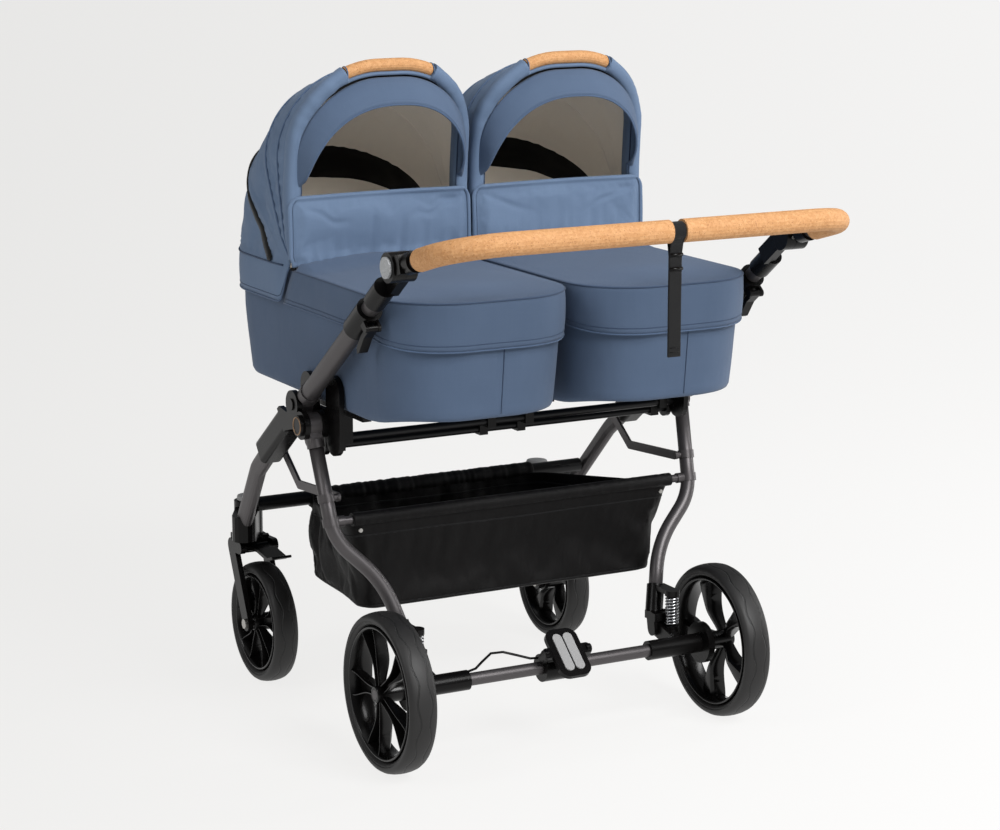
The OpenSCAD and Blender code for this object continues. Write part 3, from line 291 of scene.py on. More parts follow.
def cork_finish():
    """Pressed cork: pale grains, brown specks and small pits."""
    f = Finish("cork_wrap")
    place = f.coords("Object")
    grains = f.node("ShaderNodeTexVoronoi", {"feature": "F1"}, {"Vector": place, "Scale": 420.0})
    grain_tone = f.node("ShaderNodeTexVoronoi", {"feature": "F1"}, {"Vector": place, "Scale": 260.0}, out=1)
    specks = f.noise(place, 520.0, 2.0)
    patches = f.noise(place, 60.0, 3.0)
    base = f.mix(patches, rgb(166, 116, 72), rgb(188, 140, 92))
    grain_value = f.node("ShaderNodeSeparateColor", {}, {0: grain_tone})
    base = f.mix(grain_value * 0.55, base, rgb(204, 158, 112))
    dark = f.ramp(specks, [(0.60, (0, 0, 0)), (0.72, (1, 1, 1))])
    base = f.mix(dark * 0.75, base, rgb(112, 68, 36))
    f.link("Base Color", base)
    f.bump(grains * 0.7 - dark * 0.8, 0.35, 0.0006)
    return f.set(Roughness=0.72, Specular_IOR_Level=0.3)


def moulded(name, colour, roughness, grain, strength, gloss=0.28):
    """Moulded plastic: a fine spark-eroded grain and a slow change of gloss."""
    f = Finish(name)
    place = f.coords("Object")
    fine = f.noise(place, grain, 2.0)
    slow = f.noise(place, 14.0, 2.0)
    f.link("Base Color", f.mix(slow, tuple(c * 0.8 for c in colour[:3]) + (1,), colour))
    f.link("Roughness", slow * 0.16 + roughness)
    f.bump(fine, strength, 0.0003)
    return f.set(Specular_IOR_Level=gloss)


def satin_metal(name, colour, metallic, roughness):
    """Powder-painted tube: a faint orange peel and small changes of gloss."""
    f = Finish(name)
    place = f.coords("Object")
    peel = f.noise(place, 700.0, 2.0)
    slow = f.noise(place, 9.0, 3.0)
    f.link("Base Color", f.mix(slow, tuple(c * 0.85 for c in colour[:3]) + (1,), colour))
    f.link("Roughness", slow * 0.14 + roughness)
    f.bump(peel, 0.06, 0.0003)
    return f.set(Metallic=metallic)


def speckled(name, base, fleck):
    """Satin insert with fine metallic flecks."""
    f = Finish(name)
    place = f.coords("Object")
    flecks = f.noise(place, 900.0, 1.0)
    mask = f.ramp(flecks, [(0.45, (0, 0, 0)), (0.62, (1, 1, 1))])
    f.link("Base Color", f.mix(mask, base, fleck))
    f.bump(flecks, 0.15, 0.0003)
    return f.set(Roughness=0.5, Metallic=0.3)


def tyre_rubber(name, track, hub, shoulder, waves):
    """Foam tyre: soft black, a wavy groove on each shoulder of the tread and a fine ring on the side wall."""
    f = Finish(name)
    place = f.coords("Object")
    across = f.node("ShaderNodeSeparateXYZ", {}, {0: place})
    y = Val(f, across.socket.node.outputs[1]) - hub.y
    z = Val(f, across.socket.node.outputs[2]) - hub.z
    wave = (z.math("ARCTAN2", y) * waves).math("SINE") * 0.0028
    off_line = ((across.math("ABSOLUTE") - track).math("ABSOLUTE") - wave - shoulder).math("ABSOLUTE")
    far = (y * y + z * z).math("SQRT")
    ring = (far - (hub.z - 0.0145)).math("ABSOLUTE")
    groove = f.ramp(off_line * 300, [(0.15, (0, 0, 0)), (0.5, (1, 1, 1))])
    line = f.ramp(ring * 300, [(0.1, (0, 0, 0)), (0.35, (1, 1, 1))])
    dust = f.noise(place, 22.0, 4.0)
    worn = f.mix(dust, rgb(15, 14, 14), rgb(27, 26, 26))
    # The grooves and the side-wall ring are drawn near black: painted shade in these recesses.
    f.link("Base Color", f.mix(groove * line, rgb(5, 5, 5), worn))
    f.link("Roughness", dust * 0.15 + 0.47)
    f.bump(groove * line + f.noise(place, 1300.0, 2.0) * 0.06, 0.8, 0.0011)
    return f.set(Specular_IOR_Level=0.45)


CORK = cork_finish()
GRAPHITE = satin_metal("graphite_tube", rgb(84, 81, 82), 0.7, 0.36)
BLACK_PAINT = satin_metal("black_tube", rgb(24, 24, 25), 0.6, 0.3)
BLACK = moulded("black_plastic", rgb(9, 8, 8), 0.2, 1400.0, 0.08, 0.17)
GLOSS_BLACK = moulded("smooth_black", rgb(9, 8, 8), 0.16, 1800.0, 0.03)
PALE = moulded("pale_pads", rgb(150, 150, 150), 0.42, 1500.0, 0.12)
REAR_RUBBER = tyre_rubber("rear_tyre_rubber", 0.321, at(0, 0, 135), 0.0105, 13)
FRONT_RUBBER = tyre_rubber("front_tyre_rubber", 0.303, at(0, 561, 110), 0.0095, 11)
CHROME = satin_metal("spring_chrome", rgb(196, 197, 200), 1.0, 0.16)
STEEL = satin_metal("screw_steel", rgb(176, 174, 170), 1.0, 0.28)
BRONZE = satin_metal("bronze_ring", rgb(150, 122, 96), 0.9, 0.32)
INSERT = speckled("disc_insert", rgb(138, 140, 142), rgb(186, 188, 190))

# %% [markdown]
# ## Finishes on the frame's own pieces
# A rigid piece whose shape is right keeps its mesh from the frame and only changes its finish.

# %% Dress the frame's nodes
FINISH_OF = {
    GRAPHITE: ["front_legs", "rear_leg_tubes", "basket_rod", "push_arms", "slide_tubes", "handle_tube",
               "strut_left", "strut_right", "rear_axle", "leg_knuckles"],
    BLACK_PAINT: ["cross_bars"],
    BLACK: ["hubs", "pivot_bolts", "cot_carriers", "caster_barrels", "spring_brackets", "swing_arms",
            "brake_housing", "brake_pedal", "arm_collars", "tilt_bases", "tilt_heads", "brake_cable"],
    CHROME: ["rear_springs"],
    PALE: ["pedal_pads"],
    CORK: ["handle_grips"],
    WEBBING: ["wrist_strap"],
    BLACK_CLOTH: ["basket"],
}
SIDE_FINISH = {
    REAR_RUBBER: ["rear_tyre"],
    FRONT_RUBBER: ["front_tyre"],
    BLACK: ["fork", "lock_lever", "clamp_lever"],
    GLOSS_BLACK: ["rear_rim", "front_rim"],
    STEEL: ["front_axle"],
    INSERT: ["tilt_button"],
    BLUE: ["cot_shell", "apron", "wind_flap", "canopy", "hood_bow"],
    MATTRESS: ["mattress"],
    CORK: ["hood_grip"],
}
SIDES = {"left": -1, "right": 1}
for finish, names in SIDE_FINISH.items():
    FINISH_OF.setdefault(finish, []).extend(f"{n}_{side}" for n in names for side in SIDES)
for finish, names in FINISH_OF.items():
    for name in names:
        nodes[name].data.materials.clear()
        nodes[name].data.materials.append(finish)
print("dressed", sum(len(n) for n in FINISH_OF.values()), "nodes")

# %% [markdown]
# ## Tools for sewn pieces
# A sewn panel is rows of points joined by quads. Its UV map is laid out in metres along the rows, so the
# weave keeps one size everywhere. Sizes below are millimetres, and `at` turns them into the frame's metres.
# Where loose cloth has small folds of its own, `settle` runs a short cloth simulation: the seams are held,
# the threads are a little too long, and no point may move far. The result becomes the mesh.

# %% Shape helpers


def smooth(t):
    """A soft step from 0 to 1."""
    t = min(1.0, max(0.0, t))
    return t * t * (3 - 2 * t)


def lerp(a, b, t):
    return a + (b - a) * t


def ripple(x, y, z, scale, seed=0.0):
    """Smooth noise between -1 and 1 whose lumps are about one scale apart."""
    return noise.noise(Vector((x / scale + seed, y / scale - seed, z / scale + 2 * seed)))


def finished(name, mesh, *finishes):
    """Weld a bmesh, turn its faces outwards and make it an object."""
    bmesh.ops.remove_doubles(mesh, verts=mesh.verts, dist=2e-5)
    bmesh.ops.recalc_face_normals(mesh, faces=mesh.faces)
    data = bpy.data.meshes.new(name)
    mesh.to_mesh(data)
    mesh.free()
    for finish in finishes:
        data.materials.append(finish)
    obj = bpy.data.objects.new(name, data)
    bpy.context.scene.collection.objects.link(obj)
    return obj


def add_rows(mesh, rows, closed=False, slot=0):
    """Quads through rows of points, with UVs in metres along and across the rows."""
    layer = mesh.loops.layers.uv.verify()
    spots = [[at(*p) for p in row] for row in rows]
    count = len(spots[0])
    middle = spots[len(spots) // 2]
    along, down = [0.0], [0.0]
    for i in range(count):
        along.append(along[-1] + (middle[(i + 1) % count] - middle[i]).length)
    for upper, lower in zip(spots, spots[1:]):
        down.append(down[-1] + sum((a - b).length for a, b in zip(upper, lower)) / count)
    grid = [[mesh.verts.new(p) for p in row] for row in spots]
    for k in range(len(grid) - 1):
        for i in range(count if closed else count - 1):
            j = (i + 1) % count
            face = mesh.faces.new((grid[k][i], grid[k][j], grid[k + 1][j], grid[k + 1][i]))
            for loop, (col, row) in zip(face.loops, ((i, k), (i + 1, k), (i + 1, k + 1), (i, k + 1))):
                loop[layer].uv = (along[col], down[row])
            face.smooth, face.material_index = True, slot
    return grid


def panel(name, rows, *finishes, closed=False):
    mesh = bmesh.new()
    add_rows(mesh, rows, closed)
    return finished(name, mesh, *finishes)


def apply(obj, kind, **settings):
    """Add a modifier and make its result the mesh."""
    modifier = obj.modifiers.new(kind.lower(), kind)
    for key, value in settings.items():
        setattr(modifier, key, value)
    bpy.context.view_layer.objects.active = obj
    bpy.ops.object.modifier_apply(modifier=modifier.name)
    return obj


def tube(name, path, radius, finish, sides=10, closed=False):
    """A round roll along a path. radius is one number or one for each point."""
    points = [at(*p) for p in path]
    count = len(points)
    radii = [r * MM for r in (radius if hasattr(radius, "__len__") else [radius] * count)]
    mesh = bmesh.new()
    layer = mesh.loops.layers.uv.verify()
    rings, far, normal = [], [0.0], None
    for i, p in enumerate(points):
        before = points[i - 1] if i or closed else p
        after = points[(i + 1) % count] if i + 1 < count or closed else p
        ahead = (after - before).normalized()
        if normal is None:
            normal = ahead.orthogonal().normalized()
        normal = (normal - ahead * normal.dot(ahead)).normalized()
        side = ahead.cross(normal)
        rings.append([mesh.verts.new(p + (normal * math.cos(t) + side * math.sin(t)) * radii[i])
                      for t in (2 * math.pi * s / sides for s in range(sides))])
        far.append(far[-1] + (points[(i + 1) % count] - p).length)
    for i in range(count if closed else count - 1):
        first, second = rings[i], rings[(i + 1) % count]
        for s in range(sides):
            face = mesh.faces.new((first[s], first[(s + 1) % sides], second[(s + 1) % sides], second[s]))
            girth = 2 * math.pi * radii[i] / sides
            corners = ((far[i], s), (far[i], s + 1), (far[i + 1], s + 1), (far[i + 1], s))
            for loop, (u, v) in zip(face.loops, corners):
                loop[layer].uv = (u, v * girth)
            face.smooth = True
    if not closed:
        for ring in (rings[0], rings[-1]):
            mesh.faces.new(ring)
    return finished(name, mesh, finish)


def plan(half, back, front, r_back, r_front, counts=(8, 14, 26, 14, 8)):
    """A rounded outline seen from above, once round from the middle of the back."""
    right = [(lerp(0, half - r_back, i / counts[0]), back) for i in range(counts[0])]
    for i in range(counts[1]):
        t = math.radians(90 * i / counts[1] - 90)
        right.append((half - r_back + r_back * math.cos(t), back + r_back + r_back * math.sin(t)))
    right += [(half, lerp(back + r_back, front - r_front, i / counts[2])) for i in range(counts[2])]
    for i in range(counts[3]):
        t = math.radians(90 * i / counts[3])
        right.append((half - r_front + r_front * math.cos(t), front - r_front + r_front * math.sin(t)))
    right += [(lerp(half - r_front, 0, i / counts[4]), front) for i in range(counts[4] + 1)]
    return right + [(-x, y) for x, y in reversed(right[1:-1])]


CLOTH_FRAMES = 18


def settle(obj, held, slack, most, puff=0.0):
    """Let cloth find its own small folds: held is a point's grip, slack the extra length of its threads."""
    before = [v.co.copy() for v in obj.data.vertices]
    sewn = obj.vertex_groups.new(name="sewn")
    for v in obj.data.vertices:
        sewn.add([v.index], held(v), "REPLACE")
    modifier = obj.modifiers.new("cloth", "CLOTH")
    cloth = modifier.settings
    cloth.quality, cloth.mass, cloth.vertex_group_mass = 6, 0.15, "sewn"
    cloth.tension_stiffness, cloth.compression_stiffness, cloth.shear_stiffness = 25, 25, 8
    cloth.bending_stiffness, cloth.shrink_min, cloth.shrink_max = 0.6, -slack, -slack
    cloth.effector_weights.gravity = 0
    cloth.use_pressure, cloth.uniform_pressure_force = puff != 0, puff
    for step in range(1, CLOTH_FRAMES + 1):
        bpy.context.scene.frame_set(step)
    bpy.context.view_layer.objects.active = obj
    bpy.ops.object.modifier_apply(modifier=modifier.name)
    obj.vertex_groups.clear()
    bpy.context.scene.frame_set(1)
    moved = 0.0
    for v, old in zip(obj.data.vertices, before):
        step = v.co - old
        moved = max(moved, step.length)
        v.co = old + step * (most * MM / (most * MM + step.length))
    print("settled", obj.name, "largest move", round(moved / MM, 1), "mm")


# %% [markdown]
# ## Carrycot bodies
# The body is a stiff foam tub under tight cloth. One loft runs up the outside, over the rim and down the
# lined inside. One upright seam at the foot end marks where its panels are joined.

# %% Carrycot bodies
COT_X, COT_Y = 173, 275   # the middle of a cot
RIM, FLOOR = 792, 580
WALL_FOOT = FLOOR + 9     # where the rounded edge of the floor ends and the wall starts


def shrunk(ring, share):
    """An outline drawn in towards the middle of the cot."""
    return [(x * share, COT_Y + (y - COT_Y) * share) for x, y in ring]


def cot_ring(t, inset=0.0):
    """The tub's outline at height share t."""
    wide, long = min(1, 1.8 * t), min(1, 1.5 * t)
    half, foot, head = lerp(154, 160, wide), lerp(-90, -108, t ** 1.15), lerp(639, 669, long)
    foot_round, head_round = lerp(112, 122, t), lerp(130, 154, long)
    return plan(half - inset, foot + inset, head - inset, foot_round - inset, head_round - inset)


def foot_lift(y):
    """The underside rises towards the foot."""
    return 17 * smooth((70 - y) / 130)


def cot_swell(t):
    """The padding stands proud in the middle of the wall."""
    return 1.4 * math.sin(math.pi * t)


def wall_z(y, t):
    return lerp(WALL_FOOT, RIM, t) + foot_lift(y) * (1 - t) ** 2


def cot_body(side):
    cx = COT_X * SIDES[side]
    mesh = bmesh.new()
    floor_edge = plan(142, -77, 627, 100, 118)
    outer = [[(cx + x, y, FLOOR + foot_lift(y)) for x, y in shrunk(floor_edge, share)]
             for share in (0.02, 0.5, 0.75, 0.9, 1.0)]
    steps = 18
    for k in range(steps + 1):
        t = k / steps
        z = lerp(WALL_FOOT, RIM, t)
        row = []
        for x, y in cot_ring(t, -cot_swell(t)):
            soft = 0.9 * ripple(cx + x, y, z, 90, 3.1) + 0.5 * ripple(cx + x, y, z * 0.3, 34, 8.0) * (1 - t)
            pushed = soft * (0.6 if y > COT_Y else -0.6)
            row.append((cx + x * (1 + soft / 160), y + pushed, wall_z(y, t)))
        if k == 0:
            between = [(lerp(low[0], high[0], 0.72), lerp(low[1], high[1], 0.72), lerp(low[2], high[2], 0.3))
                       for low, high in zip(outer[-1], row)]
            outer.append(between)
        outer.append(row)
    add_rows(mesh, outer, True, 0)
    rim = [outer[-1]]
    for inset, z in ((1.2, RIM + 1.6), (3.8, RIM + 1.6), (5, RIM)):
        rim.append([(cx + x, y, z) for x, y in cot_ring(1, inset)])
    add_rows(mesh, rim, True, 0)
    inner = [rim[-1]]
    for k in range(1, 11):
        t = 1 - k / 10
        inner.append([(cx + x, y, lerp(593 + foot_lift(y), RIM, t)) for x, y in cot_ring(t, 5)])
    inner += [[(cx + x, y, 592 + foot_lift(y)) for x, y in shrunk(cot_ring(0, 7), share)]
              for share in (1.0, 0.9, 0.75, 0.5, 0.02)]
    add_rows(mesh, inner, True, 1)
    body = finished(f"cot_body_{side}", mesh, SHADED_BLUE, LINING)
    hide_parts(f"cot_shell_{side}")
    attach(body, f"cot_{side}")
    seam_x, spots = 13, []
    for k in range(25):
        t = k / 24
        ring = [q for q in cot_ring(t, -cot_swell(t)) if q[1] < 60]
        low, high = sorted(ring, key=lambda q: abs(q[0] - seam_x))[:2]
        y = lerp(low[1], high[1], (seam_x - low[0]) / (high[0] - low[0]))
        spots.append((cx + seam_x, y - 0.5, wall_z(y, t)))
    seam = tube(f"cot_seam_{side}", spots, 0.9, BLUE_DARK, 6)
    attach(seam, f"cot_{side}")
    print("cot body", side, "faces", len(body.data.polygons))


for cot_side in SIDES:
    cot_body(cot_side)

# %% [markdown]
# ## Mattresses
# A foam pad with rounded edges and a sunken seam round its side.

# %% Mattresses


def mattress(side):
    cx = COT_X * SIDES[side]
    rows = []
    section = ((139, 598), (60, 597.6), (12, 597.5), (4, 600), (0.5, 607), (1.6, 616), (3.2, 620), (1.6, 624),
               (0.4, 632), (4, 639.5), (12, 642.5), (40, 645), (85, 646), (132, 646.5))
    for inset, z in section:
        if inset <= 12:
            ring = plan(139 - inset, -74 + inset, 624 - inset, 96 - inset, 118 - inset)
        else:
            ring = shrunk(plan(139, -74, 624, 96, 118), 1 - min(inset, 132) / 139)
        under = min(1, max(0.0, (622 - z) / 23))
        rows.append([(cx + x, y, z + foot_lift(y) * under) for x, y in ring])
    pad = panel(f"mattress_pad_{side}", rows, MATTRESS, closed=True)
    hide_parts(f"mattress_{side}")
    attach(pad, f"cot_{side}")


for cot_side in SIDES:
    mattress(cot_side)

# %% [markdown]
# ## Aprons
# The apron is a sheet stretched over the foot end: a slightly domed top, a rounded edge with piping and a
# skirt that hangs over the tub. The skirt is deeper at the foot, and its front corners slant towards the
# hood. It is stretched tight, so a simulation would add nothing, and noise moves in its few soft tucks.

# %% Aprons


def apron(side):
    cx, seed = COT_X * SIDES[side], 5.0 + SIDES[side]
    half, foot, front, corner = 166, -114, 326, 118
    lengths = [lerp(front, foot + corner, i / 22) for i in range(22)]
    lengths += [foot + corner - corner * math.sin(math.radians(90 * i / 16)) for i in range(17)]
    across = 44

    def edge_half(y):
        drop = max(0.0, foot + corner - y)
        return half - corner + math.sqrt(max(0.0, corner * corner - drop * drop))

    def top_z(x, y):
        width = edge_half(y)
        rise = (1 - (x / half) ** 2) * smooth((y - foot) / 150) * 11
        pillow = 10 * smooth((y - 235) / 80) * smooth((width - abs(x)) / 6)
        tuck = 1.6 * ripple(x * 0.5, y * 2.2, 0, 46, seed) * smooth((y - 150) / 170)
        quiet = 0.8 * ripple(x, y, 0, 70, seed + 3)
        return 796 + pillow + (rise + tuck + quiet) * smooth((width - abs(x)) / 22)

    def drawn_in(x, y):
        """The flat top ends a little inside the rounded edge."""
        return x * 0.985, y * 0.985 + 4.0

    top = [[(edge_half(y) * (2 * i / across - 1), y) for i in range(across + 1)] for y in lengths]
    mesh = bmesh.new()
    rows = []
    for row in top:
        inside = [drawn_in(x, y) for x, y in row]
        rows.append([(cx + px, py, top_z(x, y)) for (px, py), (x, y) in zip(inside, row)])
    add_rows(mesh, rows)
    edge = [row[0] for row in top] + top[-1][1:-1] + [row[-1] for row in reversed(top)]

    def hem_z(y):
        return lerp(732, 716, smooth((90 - y) / 190))

    skirt = []
    for k in range(15):
        t = max(0.0, (k - 3) / 11)
        row = []
        for x, y in edge:
            if k < 4:
                px, py = drawn_in(x, y)
                turn = math.radians(90 * k / 3)
                px, py = lerp(px, x, math.sin(turn)), lerp(py, y, math.sin(turn))
                z = 796 - 4.5 * (1 - math.cos(turn))
            else:
                px, py = x, y
                z = lerp(791.5, hem_z(y), t)
            flare = 1.0 + (1.8 * math.sin(math.pi * t) - 2.6 * t
                           + 1.5 * t * ripple(x, y, z * 0.4, 55, seed)) / half if t else 1.0
            py += 44 * t * smooth((y - 215) / 110)
            row.append((cx + px * flare, 60 + (py - 60) * flare if y < 60 else py, z))
        skirt.append(row)
    add_rows(mesh, skirt)
    cover = finished(f"apron_cover_{side}", mesh, SHADED_BLUE)
    apply(cover, "SOLIDIFY", thickness=0.0022, offset=-1.0, use_even_offset=False)
    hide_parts(f"apron_{side}")

    def line(label, spots, radius, finish):
        made = tube(f"apron_{label}_{side}", spots, radius, finish, 6)
        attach(made, f"cot_{side}")

    line("piping", [(x, y, z + 0.2) for x, y, z in skirt[2]], 1.5, BLUE_DARK)
    line("hem_stitch", [tuple(lerp(a, b, 0.5) for a, b in zip(p, q)) for p, q in zip(skirt[-3], skirt[-2])],
         0.75, BLUE_DARK)
    line("hem_edge", skirt[-1], 1.5, BLUE_TRIM)
    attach(cover, f"cot_{side}")
    for sign in (-1, 1):
        ends = [(cx + sign * 164, 322, 797), (cx + sign * 169.5, 320, 798)]
        snap = tube(f"apron_snap_{side}_{sign}", ends, 3.4, GLOSS_BLACK, 12)
        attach(snap, f"cot_{side}")


for cot_side in SIDES:
    apron(cot_side)

# %% [markdown]
# ## Wind flaps
# A thin quilted panel that stands in front of the hood. A raised border runs round three sides, and the
# bottom seam is gathered, so small folds rise from it and fade upwards. The panel is modelled by its two
# faces and then puffed up a little by the cloth simulation.

# %% Wind flaps


def wind_flap(side):
    cx, seed = COT_X * SIDES[side], 11.0 + 2 * SIDES[side]
    outer, inner, half = 176, 171.5, 174
    low, high, corner, stand_y = 802, 922, 24, 315.5
    columns, rows_count = 96, 34

    def row_z(k):
        return lerp(low, high, 1 - (1 - k / rows_count) ** 1.25)

    def width(z):
        over = max(0.0, z - (high - corner))
        return half - corner + math.sqrt(max(0.0, corner * corner - over * over)) - 5 * smooth((820 - z) / 15)

    def spread(x):
        """Stretch the panel to its outer and inner end."""
        out = SIDES[side]
        return x * (outer if x * out > 0 else inner) / half

    def thick(x, z):
        edge = min(width(z) - abs(x), high - z)
        bead = 3.0 * smooth(edge / 2.5) * (1 - smooth((edge - 5) / 3.5))
        fill = 5.0 * smooth((edge - 7) / 22) * (0.55 + 0.45 * smooth((z - low) / 34))
        return 0.9 + bead + fill

    def bend(x, z):
        gather = math.exp(-max(0.0, z - low - 10) / 17)
        pucker = 8.5 * gather * ripple(x, 0, z * 0.1, 14, seed)
        crease = 9.0 * ripple(x * 0.3, 0, z * 0.8 + x * 0.12, 62, seed + 4) * smooth((z - low) / 30)
        for corner_x, slope in ((158, 0.10), (158, 0.30), (-158, 0.36)):
            far = abs(corner_x - x)
            off = (high - 17 - z) - slope * far + 9 * ripple(x, 0, 0, 38, seed + corner_x)
            crease += 3.6 * math.exp(-(off / 6.0) ** 2) * smooth(far / 25) * smooth((120 - far) / 90)
        crease *= smooth((high - z) / 26) * smooth((half - abs(x)) / 26)
        return pucker + crease + 5 * smooth((abs(x) / half - 0.86) / 0.14) + 3 * smooth((z - 850) / 70) - 3

    def spot(i, k, face):
        z = row_z(k)
        x = width(z) * math.sin(math.pi / 2 * (2 * i / columns - 1) * 0.92) / math.sin(math.pi / 2 * 0.92)
        dip = 2.0 * (1 - smooth((high - z) / 40)) * math.cos(x / half * 1.5) - 1.0
        return cx + spread(x), stand_y + bend(x, z) + face * thick(x, z), z + dip

    mesh = bmesh.new()
    front = [[spot(i, k, -1) for i in range(columns + 1)] for k in range(rows_count + 1)]
    back = [[spot(i, k, 0.7) for i in range(columns + 1)] for k in range(rows_count + 1)]
    add_rows(mesh, front)
    add_rows(mesh, back)

    def border(grid):
        return grid[0] + [r[-1] for r in grid[1:]] + grid[-1][-2::-1] + [r[0] for r in grid[-2:0:-1]]

    add_rows(mesh, [border(front), border(back)], True)
    flap = finished(f"wind_flap_pad_{side}", mesh, BLUE)

    def sewn(v):
        x, z = abs(v.co.x / MM - cx), v.co.z / MM
        return 1 - min(smooth((min(half - x, high - z) - 7) / 14), smooth((z - low - 2) / 8))

    settle(flap, sewn, 0.015, 5.0, 1.0)
    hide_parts(f"wind_flap_{side}")
    line_points = []
    for sign, order in ((-1, range(2, rows_count)), (1, range(rows_count - 1, 1, -1))):
        for k in order:
            z = min(row_z(k), high - 7.5)
            near = sign * (width(z) - 7.5)
            line_points.append((cx + spread(near), stand_y + bend(near, z) - thick(near, z) - 0.1, z))
    seam = tube(f"wind_flap_stitch_{side}", line_points, 0.8, BLUE_DARK, 6)
    for piece in (flap, seam):
        at(cx, 318, 807)
        at(cx, 318, 829)
        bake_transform(piece)


for cot_side in SIDES:
    wind_flap(cot_side)

# %% [markdown]
# ## Hoods
# A hood is one sheet stretched over bows that fan out from a pivot on each side. Every bow line is the same
# arch, turned about the pivot and leaning forward at the top. Between the bows the cloth sinks a little, and
# near the pivots it bunches into small radial folds.

# %% Hood geometry
PIVOT_Y, PIVOT_Z = 330, 802
HALF = 166
FRONT_BOW = 88        # degrees above level
LINING_SEAM = 53
BOWS = (0, 33, 60, 75, FRONT_BOW)


def reach(a):
    """How far the hood's top is from the pivot line at an angle above level."""
    c, s = abs(math.cos(math.radians(a))), abs(math.sin(math.radians(a)))
    return ((c / 346) ** 1.92 + (s / 328) ** 1.92) ** (-1 / 1.92)


def arch(half, top, corner, counts=(18, 22, 6), start=8.0):
    """One bow, from its right foot over the top to its left foot: x, distance and the outward direction."""
    right = [(half, lerp(start, top - corner, i / counts[0]), 1.0, 0.0) for i in range(counts[0])]
    for i in range(counts[1]):
        t = math.radians(90 * i / counts[1])
        c, s = math.cos(t), math.sin(t)
        right.append((half - corner + corner * c, top - corner + corner * s, c, s))
    right += [(lerp(half - corner, 0, i / counts[2]), top, 0.0, 1.0) for i in range(counts[2] + 1)]
    return right + [(-x, d, -nx, nd) for x, d, nx, nd in reversed(right[:-1])]


def bow_line(a):
    """The hood's arch at an angle: its top corners are rounder towards the head of the cot."""
    return arch(HALF, reach(a), lerp(158, 146, a / FRONT_BOW))


def swing(x, d, a, share=1.0):
    """A bow's point turned about the pivot, with the top leaning forward by its share of 8 degrees."""
    b = math.radians(a + share * 8 * smooth((d - 60) / 258))
    return x, PIVOT_Y + d * math.cos(b), PIVOT_Z + d * math.sin(b)


def cloth_depth(x, d, a, seed):
    """How far the hood's cloth stands off its bow line, in millimetres."""
    low = max(b for b in BOWS if b <= a + 1e-6)
    high = min((b for b in BOWS if b > a + 1e-6), default=low + 1)
    share = (a - low) / (high - low)
    wide = (high - low) / 33
    sag = math.sin(math.pi * share) ** 0.85 * smooth((d - 40) / 130)
    folds = ripple(a * 5.0, x * 0.12, d * 0.25, 20, seed) * smooth((190 - d) / 120)
    creases = ripple(x * 0.5, a * 5.5, d * 0.5, 44, seed + 7) * smooth((d - 60) / 80)
    return -8.5 * wide * sag + 3.2 * folds * sag ** 0.5 + 2.6 * creases * sag ** 0.5


def canopy_spot(cx, x, d, nx, nd, a, seed, lift=0.0):
    off = cloth_depth(x, d, a, seed) + lift
    out = 6.0 if nx * cx > 0 else 2.0
    off += out * abs(nx) * smooth((d - 8) / 50) * smooth((310 - d) / 150)
    px, py, pz = swing(x + nx * off, d + nd * off, a, (a / FRONT_BOW) ** 2)
    return cx + px, py, pz


def zip_angle(d):
    """The zip climbs in a straight line from the rim, then follows its bow over the top."""
    track = [(lerp(70, 217, i / 600), lerp(-4, 139, i / 600)) for i in range(601)]
    along, up = min(track, key=lambda p: abs(math.hypot(*p) - d))
    climb = math.degrees(math.atan2(up, along)) if d < 250 else 60.0
    return -3.0 * math.log(math.exp(-climb / 3.0) + math.exp(-11.0))


# %% [markdown]
# ## Canopy sheets
# The sheet starts at its lower hem, which wraps round the head of the tub, and ends at the front bow. It is
# pale inside, with one dark mesh panel. Bows and seams are held while the cloth between them settles into
# soft folds.

# %% Canopy sheets


def hem_drop(y):
    return 64 * smooth((y - 338) / 36) + 4


